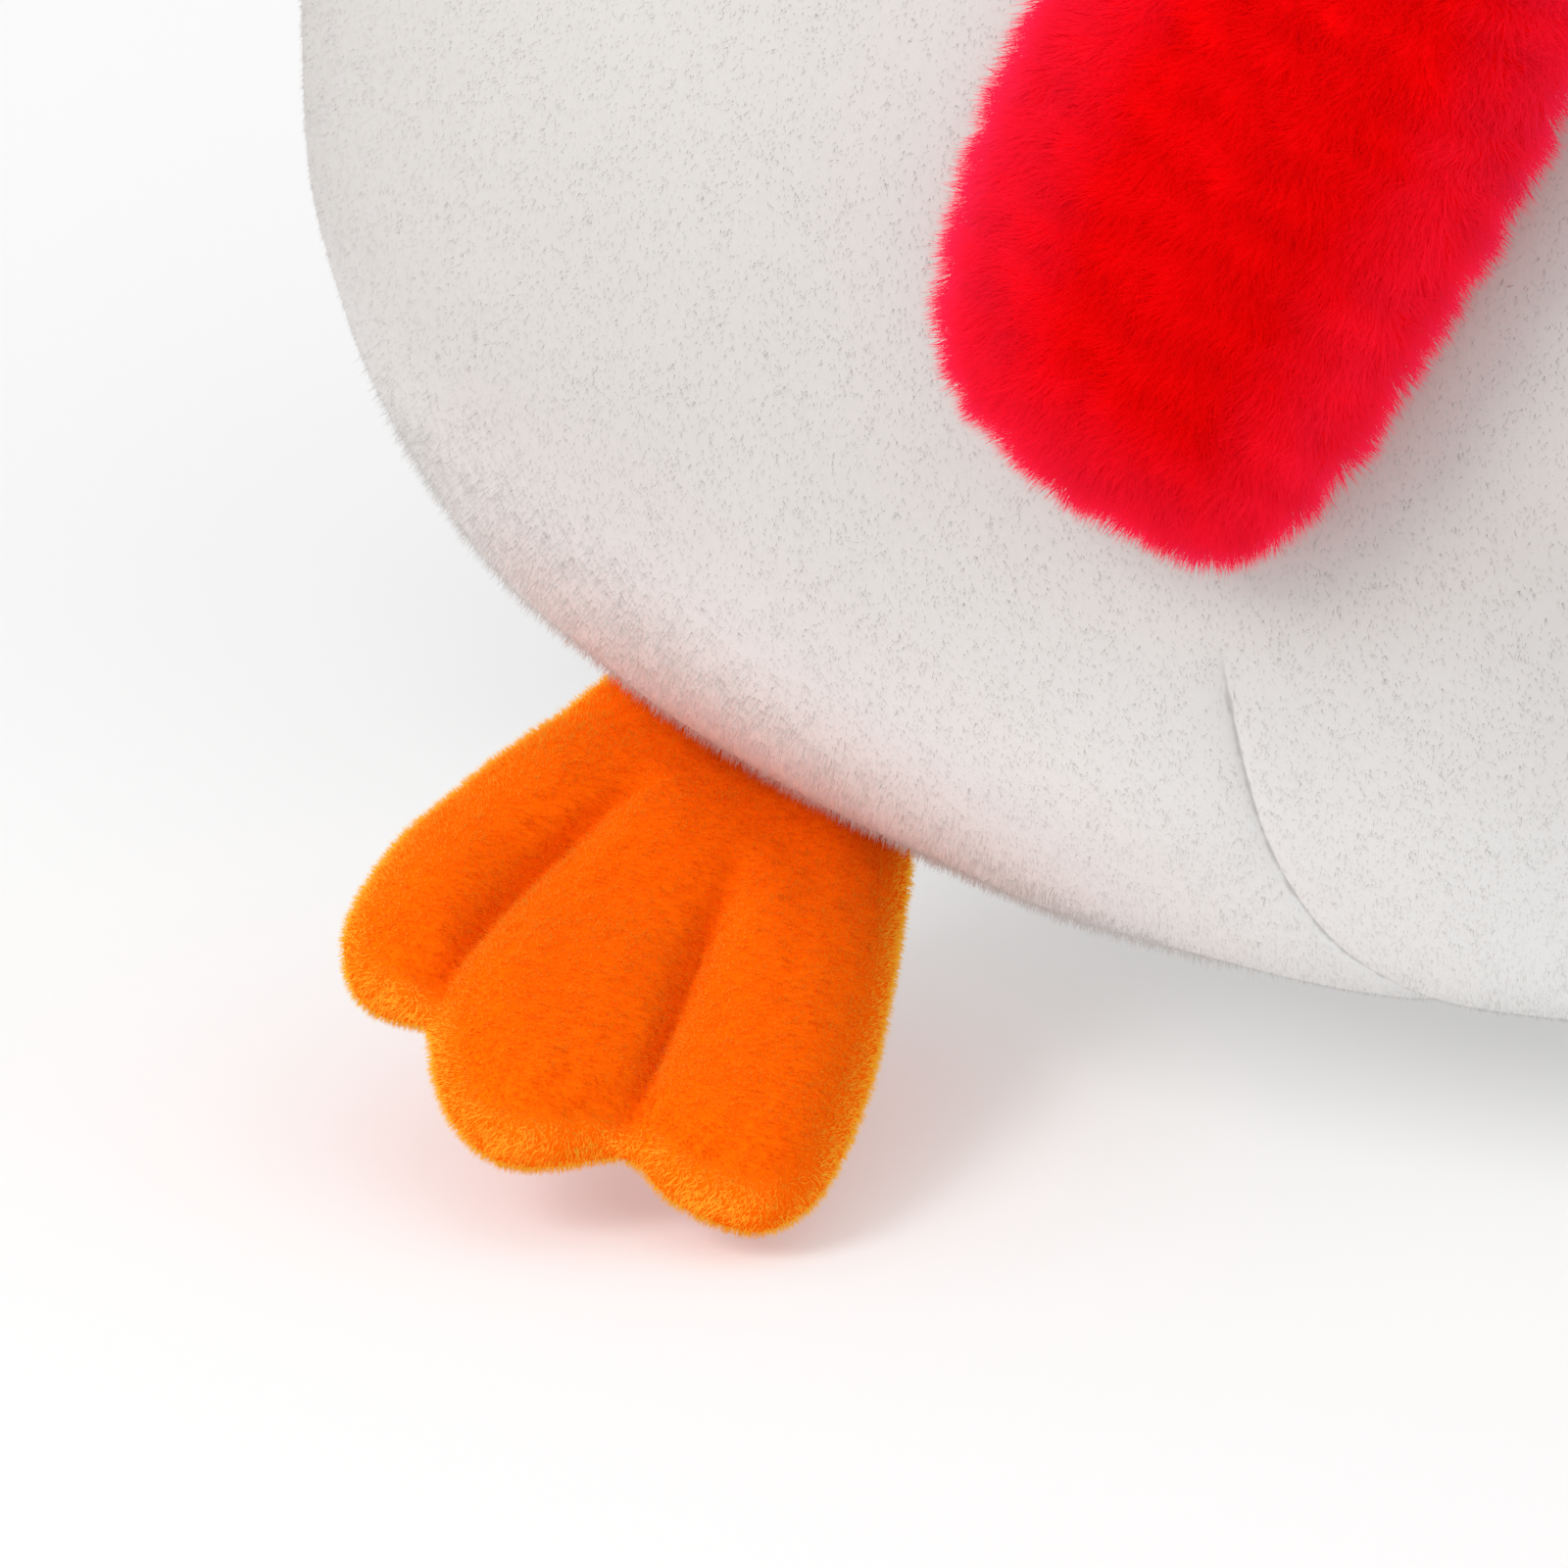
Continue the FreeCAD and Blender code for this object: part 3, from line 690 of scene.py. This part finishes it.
tilt = math.radians(SIDE_SEAM_TILT)
seam_point, seam_normal = (0, *SIDE_SEAM_POINT), (0, math.cos(tilt), math.sin(tilt))
belly = sewn_body("belly_cover")
back_left = copy_of(belly, "back_cover_left")
keep_side(belly, seam_point, seam_normal)
keep_side(back_left, seam_point, tuple(-v for v in seam_normal))
back_right = copy_of(back_left, "back_cover_right")
keep_side(back_left, (0, 0, 0), (-1, 0, 0))
keep_side(back_right, (0, 0, 0), (1, 0, 0))
press_darts(belly)


def above_floor(points):
    """Weight of the body's fibres: none on the floor or under the scarf, few on the darts."""
    ring = np.hypot(points[:, 0], points[:, 1])
    on_dart = hill(off_darts(points), 0.5) * (points[:, 1] < 0) * (points[:, 2] < DART_TOP)
    return ramp(ring, 36.0, 42.0) * ramp(NECK_Z - 6 - points[:, 2], -1.0, 2.0) * (1 - 0.8 * on_dart)


BELLY_NAP = {"length": 1.15, "width": 0.095, "lean": 58.0, "comb": downward, "stray": 0.5}
FRINGE_NAP = {"length": 1.8, "width": 0.11, "lean": 36.0, "comb": downward, "stray": 0.6}
BACK_NAP = {"length": 1.3, "width": 0.24, "lean": 58.0, "comb": downward, "stray": 0.5}
belly_piles = [
    pile(f"belly_pile_{side}", belly, 122000, seed=seed, clump=0.2, clump_size=7.0, where=half, **BELLY_NAP)
    for side, seed, half in (
        ("left", 21, lambda q: above_floor(q) * (q[:, 0] >= 0)),
        ("right", 22, lambda q: above_floor(q) * (q[:, 0] < 0)),
    )
]


def by_foot(side):
    """Weight for the belly plush that a foot rubs up, side +1 left and -1 right."""
    _, root = limb_axes(FOOT_TURN, FOOT_ROOT, side)
    return lambda q: above_floor(q) * (1.0 - ramp(np.linalg.norm(q - root, axis=1), 45.0, 62.0))


belly_fringes = [
    pile(
        f"belly_fringe_{name}", belly, 20000, seed=seed, clump=0.3, clump_size=5.0, where=by_foot(side),
        **FRINGE_NAP,
    )
    for name, side, seed in (("left", 1, 28), ("right", -1, 29))
]
BELLY_PILE.dress(*belly_piles)
BELLY_FRINGE.dress(*belly_fringes)
back_piles = [
    pile(
        f"back_pile_{side}", panel, 40000, seed=seed, clump=0.4, clump_size=9.0, where=above_floor, **BACK_NAP
    )
    for side, panel, seed in (("left", back_left, 24), ("right", back_right, 27))
]
BACK_PILE.dress(*back_piles)
for tuft in (*belly_piles, *belly_fringes, *back_piles):
    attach(tuft, "torso")
for panel, replaced, finish in (
    (belly, "belly_panel", BELLY),
    (back_left, "back_panel_left", BACK),
    (back_right, "back_panel_right", BACK),
):
    finish_modifier(panel, "SOLIDIFY", thickness=CLOTH_THICK * MM, offset=-1.0)
    bpy.ops.object.shade_smooth_by_angle(angle=math.radians(50))
    finish.dress(panel)
    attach(panel, "torso")
    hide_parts(replaced)


# --- head ---
CUTTER_DEPTH = 130.0  # past the front of the head


def face_edge(points):
    """Signed distance, seen from the front, to the outline of the face's lobes: negative inside."""
    x, z = np.abs(points[:, 0]), points[:, 2]
    best = np.full(len(points), 1e9)
    for (cx, cz), radius in FACE_LOBES:
        best = np.minimum(best, np.hypot(x - cx, z - cz) - radius)
    (cheek_x, cheek_z), cheek_r = FACE_LOBES[1]
    bottom, top = cheek_z - cheek_r, FACE_NOTCH_Z
    dx, dz = x - cheek_x, np.abs(z - (bottom + top) / 2) - (top - bottom) / 2
    box = np.hypot(np.maximum(dx, 0), np.maximum(dz, 0)) + np.minimum(np.maximum(dx, dz), 0)
    return np.minimum(best, box)


def face_cutter():
    """The face's outline as a solid, pushed through the front of the head."""
    (cheek_x, cheek_z), cheek_r = FACE_LOBES[1]
    low = cheek_z - cheek_r
    bpy.ops.mesh.primitive_cube_add(size=1)
    cutter = fresh("face_cutter")
    p = points_of(cutter) * MM
    size = np.array([2 * cheek_x, CUTTER_DEPTH, FACE_NOTCH_Z - low])
    move_points(cutter, p * size + np.array([0, -CUTTER_DEPTH / 2, (FACE_NOTCH_Z + low) / 2]))
    for (x, z), radius in FACE_LOBES:
        for side in (-1, 1):
            bpy.ops.mesh.primitive_cylinder_add(vertices=144, radius=radius * MM, depth=CUTTER_DEPTH * MM)
            lobe = fresh("lobe")
            q = points_of(lobe)
            move_points(lobe, np.column_stack([q[:, 0] + side * x, q[:, 2] - CUTTER_DEPTH / 2, q[:, 1] + z]))
            outward(lobe)
            finish_modifier(cutter, "BOOLEAN", operation="UNION", object=lobe, solver="EXACT")
            remove(lobe)
    return cutter


def from_beak(points):
    """Face fibres fan out from the beak."""
    return points - np.array([0.0, -HEAD_R, BEAK_Z])


def from_crown(points):
    """Hood fibres run down and back from the brow."""
    return np.column_stack([points[:, 0] * 0.2, np.full(len(points), 25.0), np.full(len(points), -60.0)])


def off_face(points):
    """1 on the hood, 0 on the face panel."""
    return ((face_edge(points) > 0) | (points[:, 1] > 0)).astype(float)


head_top = HEAD_Z + HEAD_HALF
head = turned_form(
    "hood_cover", lambda z: head_radius(z, -PILE_SINK), HEAD_LOW + PILE_SINK, head_top - PILE_SINK, 320, 150
)
p = points_of(head)
front = ramp(-p[:, 1], 0.0, 20.0)
push = ripple(p, 60.0, 31) * 0.35 + ripple(p, 24.0, 32) * 0.12
push -= (hill(face_edge(p), 2.0) * 1.3 + hill(face_edge(p), 8.0) * 0.5) * front
centre_seam = hill(p[:, 0], 2.0) * 1.1 + hill(p[:, 0], 8.0) * 0.3
push -= centre_seam * np.where(face_edge(p) > 0, 1.0, 1 - front) * ramp(np.abs(face_edge(p)), 0.0, 4.0)
push = np.maximum(push, -SEAM_DEPTH) * ramp(p[:, 2], 191.5, 196.0)
move_points(head, p + normals_of(head) * push[:, None])
outward(head)
hood_pile = pile(
    "hood_pile", head, 60000, length=1.4, width=0.26, lean=60.0, comb=from_crown, stray=0.5, seed=41,
    clump=0.4, clump_size=9.0, where=lambda q: off_face(q) * (q[:, 2] > 194.0),
)
face_pile = pile(
    "face_pile", head, 34000, length=1.15, width=0.1, lean=58.0, comb=from_beak, stray=0.4, seed=44,
    clump=0.3, clump_size=7.0, where=lambda q: 1.0 - off_face(q),
)
finish_modifier(head, "SOLIDIFY", thickness=CLOTH_THICK * MM, offset=-1.0)
cutter = face_cutter()
face = copy_of(head, "face_cover")
finish_modifier(face, "BOOLEAN", operation="INTERSECT", object=cutter, solver="EXACT")
finish_modifier(head, "BOOLEAN", operation="DIFFERENCE", object=cutter, solver="EXACT")
remove(cutter)
for cover, replaced, finish in (
    (head, ("hood_left", "hood_right"), BACK),
    (face, ("face_panel",), BELLY),
):
    pick(cover)
    bpy.ops.object.shade_smooth_by_angle(angle=math.radians(50))
    finish.dress(cover)
    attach(cover, "head")
    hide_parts(*replaced)
BACK_PILE.dress(hood_pile)
BELLY_PILE.dress(face_pile)
for tuft in (hood_pile, face_pile):
    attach(tuft, "head")


def beak_form():
    """A blunt stuffed cone, wider than it is high, with a seam round its sides."""
    bpy.ops.mesh.primitive_uv_sphere_add(segments=96, ring_count=48, radius=1)
    beak = fresh("beak_cover")
    ball = points_of(beak) * MM
    ahead = np.clip(-ball[:, 1], -0.35, 1.0)
    half_w, half_h = (half - 0.6 for half in BEAK_HALF)
    wide = np.sqrt(np.maximum(1.0 - np.maximum(ahead, 0) ** 1.7, 0))
    spoke = unit(np.column_stack([ball[:, 0], ball[:, 2]]))
    spoke *= (np.minimum(wide, 1) * np.where(ball[:, 1] > 0.9, 0.0, 1.0))[:, None]
    root = -float(head_radius(BEAK_Z)) + 0.5
    y = root - ahead * (BEAK_REACH - 0.6)
    seam = hill(spoke[:, 1] * half_h, 1.1) * 0.7
    p = np.column_stack([spoke[:, 0] * (half_w - seam), y, BEAK_Z + spoke[:, 1] * half_h])
    p[:, 2] += ramp(ahead, 0.2, 1.0) * -1.6
    move_points(beak, p)
    outward(beak)
    return beak


beak = beak_form()
smooth(beak)
ORANGE.dress(beak)
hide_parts("beak_upper", "beak_lower", "beak_stuffing")
beak_pile = pile(
    "beak_pile", beak, 16000, length=0.8, width=0.14, lean=50.0, comb=steady((0.0, -1.0, -0.1)), stray=0.6,
    seed=47, clump=0.4, clump_size=4.0, where=lambda q: (q[:, 1] < -100.0).astype(float),
)
ORANGE_PILE.dress(beak_pile)
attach(beak, "head")
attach(beak_pile, "head")

# --- feet ---
FOOT_EDGE = (
    (-7.0, 16.0), (6.5, 19.6), (16.4, 21.3), (27.3, 22.5), (34.8, 23.2), (44.0, 22.6),
    (50.6, 20.8), (56.0, 16.8), (57.2, 12.8), (57.0, 8.0), (62.8, 4.0), (67.9, -1.0),
    (70.0, -6.9), (68.0, -11.6), (62.4, -17.7), (64.6, -23.6), (64.8, -28.6), (63.2, -33.6),
    (58.8, -36.0), (52.1, -36.2), (37.9, -33.2), (23.8, -28.6), (13.0, -24.6), (0.7, -19.6),
    (-7.0, -14.5), (-8.5, 0.0),
)
TOE_SEAMS = (
    ((14.0, 5.6), (27.0, 7.6), (39.0, 8.4), (50.0, 8.3), (56.6, 8.0)),
    ((20.0, -8.6), (35.0, -11.6), (47.0, -14.2), (61.0, -17.2)),
)
FOOT_TOP, FOOT_SOLE = 6.4, 4.6
EDGE_ROUND = 9.5  # how far in from its seam a foot's edge is round
THREAD = 0.35


def foot_height(plan, inset, upper):
    """The stuffed foot's surface over its plane, with the toe seams sewn down."""
    rise = crown(inset, EDGE_ROUND)
    height = np.where(upper > 0, FOOT_TOP, -FOOT_SOLE) * rise
    toes = ramp(plan[:, 0], -6.0, 26.0)
    height *= 0.62 + 0.38 * toes
    for seam in TOE_SEAMS:
        line = rounded_line(seam, 24, closed=False)
        off = distance_to_line(plan, line)
        start = ramp(plan[:, 0], seam[0][0] - 6.0, seam[0][0] + 14.0)
        dip = (hill(off, 1.3) * 1.5 + hill(off, 3.8) * 1.7) * start
        height -= np.sign(upper) * dip * np.where(upper > 0, 1.0, 0.55) * rise
    return height


def make_foot(side, name):
    outline = rounded_line(FOOT_EDGE, 220)
    foot, plan, inset, upper = pillow(f"foot_cover_{name}", outline, np.array([34.0, -3.0]), 220, 88)
    height = foot_height(plan, inset, upper)
    height += ripple(np.column_stack([plan, height]), 18.0, 51) * 0.22 * crown(inset, 5.0)
    place_limb(foot, plan, height, FOOT_TURN, FOOT_ROOT, side)
    inflate(foot, 4.0, 0.5)
    smooth(foot)
    ORANGE.dress(foot)
    axes, origin = limb_axes(FOOT_TURN, FOOT_ROOT, side)

    # Closeness to the foot's outline, which weights the painted highlight of its fibres.
    def near_edge(points):
        local = (points - origin) @ axes.T
        return 1.0 - ramp(distance_to_line(local[:, :2], outline, closed=True), 0.3, 3.0)

    hairs = pile(
        f"foot_pile_{name}", foot, 128000, length=1.35, width=0.14, lean=38.0, comb=steady(axes[0]), stray=0.7,
        seed=53, clump=0.3, clump_size=3.0, rim=near_edge,
    )
    ORANGE_PILE.dress(hairs)
    threads = toe_threads(name, axes, origin)
    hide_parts(f"foot_{name}_top", f"foot_{name}_sole", f"foot_{name}_stuffing")
    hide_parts(f"foot_{name}_toe_stitches")
    for piece in (foot, hairs, threads):
        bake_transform(piece)


def toe_threads(name, axes, origin):
    """Running stitches that lie at the bottom of the toe seams."""
    stitches = []
    for seam in TOE_SEAMS:
        line = rounded_line(seam, 200, closed=False)
        steps = np.linspace(20, 165, 11).astype(int)
        for k in steps:
            a, b = line[k], line[min(k + 9, 199)]
            plan = np.array([a, b])
            inset = np.full(2, EDGE_ROUND)
            height = foot_height(plan, inset, np.ones(2)) - 0.25
            ends = (origin + np.column_stack([plan, height]) @ axes) * MM
            bpy.ops.mesh.primitive_uv_sphere_add(segments=8, ring_count=6, radius=1)
            stitch = fresh("stitch")
            way = Vector(ends[1] - ends[0])
            turn = np.array(way.to_track_quat("Z", "Y").to_matrix())
            q = points_of(stitch) * MM * np.array([THREAD, THREAD, way.length / MM / 2])
            move_points(stitch, q @ turn.T + (ends[0] + ends[1]) / 2 / MM)
            stitches.append(stitch)
    deselect()
    for stitch in stitches:
        stitch.select_set(True)
    bpy.context.view_layer.objects.active = stitches[0]
    bpy.ops.object.join()
    threads = fresh(f"toe_threads_{name}")
    smooth(threads)
    ORANGE_THREAD.dress(threads)
    return threads


for side, name in ((1, "left"), (-1, "right")):
    make_foot(side, name)

# --- flippers and tail ---
WING_EDGE = (
    (-3.0, 14.0), (10.0, 21.0), (28.0, 23.0), (46.0, 21.5), (62.0, 18.5), (74.0, 13.5),
    (80.0, 5.0), (79.0, -4.5), (70.0, -13.0), (54.0, -19.5), (36.0, -22.5), (18.0, -22.0),
    (4.0, -18.5), (-3.0, -14.0), (-4.5, 0.0),
)
TAIL_EDGE = (
    (-4.0, 14.0), (6.0, 18.0), (20.0, 12.5), (30.0, 6.5), (34.0, 0.0), (30.0, -6.5),
    (20.0, -12.5), (6.0, -18.0), (-4.0, -14.0), (-6.0, 0.0),
)


def make_flipper(side, name):
    outline = rounded_line(WING_EDGE, 160)
    axes, origin = limb_axes(WING_TURN, WING_ROOT, side)
    for part, half, cloth, hair, seed in (
        ("outer", 1, BACK, BACK_PILE, 61),
        ("inner", -1, BELLY, BELLY_PILE, 64),
    ):
        middle = np.array([38.0, 0.0])
        cover, plan, inset, upper = pillow(f"flipper_{name}_{part}_cover", outline, middle, 160, 64)
        height = 5.2 * crown(inset, 9.0) * upper * (0.55 + 0.45 * ramp(plan[:, 0], -4.0, 20.0))
        height += ripple(np.column_stack([plan, height]), 22.0, 60) * 0.3 * crown(inset, 6.0)
        height = np.where(upper == half, height, half * (0.15 - crown(inset, 3.0)))
        place_limb(cover, plan, height, WING_TURN, WING_ROOT, side)
        inflate(cover, 3.0, 0.4)
        smooth(cover)
        cloth.dress(cover)
        keep = axes[2] * half

        def outer_face(q, keep=keep):
            return ((q - origin) @ keep > -0.3).astype(float)

        hairs = pile(
            f"flipper_{name}_{part}_pile", cover, 18000, length=1.3, width=0.22, lean=56.0,
            comb=steady(axes[0]), stray=0.5, seed=seed, clump=0.5, clump_size=8.0, where=outer_face,
        )
        hair.dress(hairs)
        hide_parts(f"flipper_{name}_{part}", *([f"flipper_{name}_stuffing"] if half > 0 else []))
        for piece in (cover, hairs):
            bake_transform(piece)


for side, name in ((1, "left"), (-1, "right")):
    make_flipper(side, name)

tail, plan, inset, upper = pillow("tail_cover", rounded_line(TAIL_EDGE, 120), np.array([12.0, 0.0]), 120, 56)
height = 6.0 * crown(inset, 8.5) * upper + ripple(np.column_stack([plan, inset]), 16.0, 70) * 0.2
place_limb(tail, plan, height, TAIL_TURN, TAIL_ROOT, 1)
inflate(tail, 3.0, 0.4)
smooth(tail)
BACK.dress(tail)
tail_axes, tail_root = limb_axes(TAIL_TURN, TAIL_ROOT, 1)
tail_pile = pile(
    "tail_pile", tail, 16000, length=1.3, width=0.22, lean=56.0, comb=steady(tail_axes[0]), stray=0.5,
    seed=72, clump=0.5, clump_size=8.0,
)
BACK_PILE.dress(tail_pile)
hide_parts("tail_upper", "tail_lower", "tail_stuffing")
for piece in (tail, tail_pile):
    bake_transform(piece)


# --- scarf ---
def hang_radius(z):
    """Inner radius of a hanging end: straight off the knot, then against the belly."""
    share = (z - LANDING_Z) / (HANG_TOP - LANDING_Z)
    landing = float(body_radius(LANDING_Z)) + SCARF_GAP
    straight = np.maximum(body_radius(z) + SCARF_GAP, landing + share * (HANG_R - landing))
    return np.where(z < LANDING_Z, body_radius(z) + SCARF_GAP, straight)


LONG_EDGE = (
    (-33.0, 176.0), (-41.5, 166.0), (-52.5, 156.0), (-60.5, 147.0), (-66.8, 136.0), (-70.8, 126.0),
    (-73.6, 117.0), (-75.2, 107.5), (-73.4, 100.2), (-68.8, 95.2), (-63.0, 91.2), (-56.4, 88.2),
    (-49.6, 86.8), (-43.4, 90.2), (-36.3, 99.8), (-31.8, 107.6), (-26.6, 116.4), (-21.3, 125.6),
    (-17.0, 133.6), (-11.8, 146.4), (-8.4, 158.0), (-7.0, 168.0), (-8.0, 176.0), (-20.0, 178.0),
)
SHORT_EDGE = (
    (-1.0, 176.0), (1.5, 166.0), (5.5, 154.0), (11.0, 142.0), (16.0, 130.0), (22.0, 119.0),
    (31.0, 114.0), (41.0, 115.5), (49.0, 122.0), (53.0, 131.0), (51.0, 142.0), (43.0, 153.0),
    (31.0, 163.0), (20.0, 170.0), (12.0, 176.0), (5.0, 178.0),
)


def scarf_end(name, edge, centre, thick, seed):
    """A loose end of folded fleece that hangs over the curve of the belly."""
    end, plan, inset, upper = pillow(name, rounded_line(edge, 200), np.array(centre), 200, 72)
    x, z = plan.T
    depth = crown(inset, 4.5) * thick / 2 * upper
    pleats = np.sin(x * 0.42 + 1.0) * ramp(z, 146.0, 172.0) * 1.3
    uneven = pleats + ripple(plan @ np.eye(2, 3), 24.0, seed) * 0.35
    away = hang_radius(z) + SCARF_THICK / 2 + depth + uneven
    off_centre = x - centre[0]
    away += (ramp(off_centre, 8, 26) + ramp(-off_centre, 12, 28) * 0.4) * 0.8
    move_points(end, np.column_stack([x, -np.sqrt(np.maximum(away**2 - x**2, 1.0)), z]))
    outward(end)
    smooth(end)
    RED.dress(end)
    return end


def along_run(low, high):
    """Nap that runs from the knot towards an end's tip and spreads to its edges."""
    way = np.array([low[0] - high[0], -6.0, low[1] - high[1]])
    way /= np.linalg.norm(way)
    across = np.array([-way[2], 0.0, way[0]])
    return lambda q: way + across * (((q - (low[0], 0, low[1])) @ across) * 0.05)[:, None]


def near_edge_of(edge, width):
    """Closeness to a hanging end's outline, which weights the painted highlight of its fibres."""
    line = rounded_line(edge, 100)

    def closeness(points):
        away = distance_to_line(points[:, [0, 2]], line, closed=True)
        return (1.0 - ramp(away, 0.0, width)) * 0.35 + (1.0 - ramp(away, 0.0, width / 5)) * 0.65

    return closeness


def in_front(points):
    """Fewer fibres on the side that lies against the belly."""
    depth = np.hypot(points[:, 0], points[:, 1]) - hang_radius(points[:, 2]) - SCARF_THICK / 2
    return np.where(depth > -1.0, 1.0, 0.12)


long_end = scarf_end("scarf_end_long_cover", LONG_EDGE, (-48.0, 115.0), 7.0, 81)
END_NAP = {"length": 4.2, "lean": 50.0, "stray": 0.35, "clump": 0.5, "clump_size": 6.0, "where": in_front}
EDGE_ZONE = 14.0  # painted highlight: the fibres get pinker this close to an end's outline
long_pile = pile(
    "scarf_end_long_pile", long_end, 118000, width=0.155, comb=along_run((-58, 84), (-22, 176)), seed=82,
    rim=near_edge_of(LONG_EDGE, EDGE_ZONE), **END_NAP,
)
short_end = scarf_end("scarf_end_short_cover", SHORT_EDGE, (30.0, 137.0), 7.0, 84)
short_pile = pile(
    "scarf_end_short_pile", short_end, 56000, width=0.19, comb=along_run((36, 112), (8, 176)), seed=85,
    rim=near_edge_of(SHORT_EDGE, EDGE_ZONE), **END_NAP,
)

BAND_WIDE, BAND_HIGH, RING = 12.6, 14.6, 10.0
bpy.ops.mesh.primitive_torus_add(
    major_radius=WRAP_R * MM, minor_radius=RING * MM, major_segments=240, minor_segments=64
)
wrap = fresh("scarf_wrap_cover")
p = points_of(wrap)
around = np.arctan2(p[:, 1], p[:, 0])
out, rise = (np.hypot(p[:, 0], p[:, 1]) - WRAP_R) / RING, p[:, 2] / RING
turn_of_oval = np.arctan2(rise, out)
folds = np.sin(3 * turn_of_oval + 2.2 * np.sin(around * 2 + 0.6) + around) * 0.9
lumps = ripple(p, 34.0, 91) * 0.9
radius = WRAP_R + out * (BAND_WIDE + folds + lumps)
height = WRAP_Z + rise * (BAND_HIGH + folds + lumps)
shoulder_z = np.linspace(150.0, NECK_Z, 120)
shoulder = np.interp(radius, body_radius(shoulder_z)[::-1], shoulder_z[::-1]) - 0.5
height -= np.clip(height - shoulder, 0.0, 9.0) * ramp(-rise, 0.25, 0.9)  # the band sags onto the shoulders
move_points(wrap, np.column_stack([radius * np.cos(around), radius * np.sin(around), height]))
outward(wrap)
smooth(wrap)


def around_neck(points):
    """Nap that runs round the neck and a little down."""
    return np.column_stack([-points[:, 1], points[:, 0], np.full(len(points), -30.0)])


wrap_pile = pile(
    "scarf_wrap_pile", wrap, 115000, length=4.6, width=0.44, lean=52.0, comb=around_neck, stray=0.6, seed=92,
    clump=0.6, clump_size=8.0,
)

bpy.ops.mesh.primitive_uv_sphere_add(segments=128, ring_count=72, radius=1)
knot = fresh("scarf_knot_cover")
ball = points_of(knot) * MM
creases = np.sin(ball[:, 0] * 7.0 + ball[:, 2] * 2.0) * 0.05 + ripple(ball * 20, 16.0, 95) * 0.035
p = ball * (1 + creases)[:, None] * np.array(KNOT_HALF) + np.array(KNOT)
p[:, 2] = np.maximum(p[:, 2], HANG_TOP + 1.0)
move_points(knot, p)
smooth(knot)
knot_pile = pile(
    "scarf_knot_pile", knot, 30000, length=4.2, width=0.3, lean=52.0, comb=downward, stray=0.7, seed=96,
    clump=0.6, clump_size=6.0, where=lambda q: (q[:, 2] > HANG_TOP + 1.5).astype(float),
)
for piece in (wrap, knot):
    RED.dress(piece)
RED_PILE.dress(long_pile, short_pile, wrap_pile, knot_pile)
for piece, body in (
    (wrap, "scarf"), (wrap_pile, "scarf"), (knot, "scarf"), (knot_pile, "scarf"),
    (long_end, "scarf_end_long"), (long_pile, "scarf_end_long"),
    (short_end, "scarf_end_short"), (short_pile, "scarf_end_short"),
):
    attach(piece, body)
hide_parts("scarf_wrap")
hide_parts("scarf_knot")
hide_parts("scarf_tail_long")
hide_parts("scarf_tail_short")

# --- floor, light and camera ---
bpy.ops.mesh.primitive_plane_add(size=8)
floor = fresh("floor")
FLOOR = Finish("floor paper", "base_cloth")
FLOOR.surface(Base_Color=(0.61, 0.61, 0.61, 1), Roughness=0.9, Specular_IOR_Level=0.0)
FLOOR.surface(Emission_Color=(1, 1, 1, 1), Emission_Strength=0.31)  # paper lit from below as well
floor.data.materials.append(FLOOR.material)

world = bpy.data.worlds.new("studio")
bpy.context.scene.world = world
world.use_nodes = True
world.node_tree.nodes["Background"].inputs["Color"].default_value = (1.0, 1.0, 1.0, 1.0)
world.node_tree.nodes["Background"].inputs["Strength"].default_value = 0.9


def softbox(name, place, size, power):
    """A square white area light that faces the toy."""
    light = bpy.data.lights.new(name, "AREA")
    light.size, light.energy = size, power
    lamp = bpy.data.objects.new(name, light)
    lamp.location = place
    lamp.rotation_euler = (Vector((0, 0, 0.12)) - Vector(place)).to_track_quat("-Z", "Y").to_euler()
    bpy.context.scene.collection.objects.link(lamp)


softbox("key", (-1.4, -1.2, 1.35), 0.9, 22.0)

CAMERA_AIM, CAMERA_DISTANCE, CAMERA_ELEVATION, CAMERA_LENS = (-92.0, -70.0, 36.0), 2000.0, 20.0, 450.0
lift = math.radians(CAMERA_ELEVATION)
camera_data = bpy.data.cameras.new("camera")
camera_data.sensor_width, camera_data.lens, camera_data.clip_end = 36.0, CAMERA_LENS, 50.0
camera = bpy.data.objects.new("camera", camera_data)
back_off = Vector((0.0, -math.cos(lift), math.sin(lift))) * CAMERA_DISTANCE
camera.location = (Vector(CAMERA_AIM) + back_off) * MM
camera.rotation_euler = (math.pi / 2 - lift, 0.0, 0.0)
bpy.context.scene.collection.objects.link(camera)
bpy.context.scene.camera = camera
bpy.context.scene.view_settings.view_transform = "Standard"
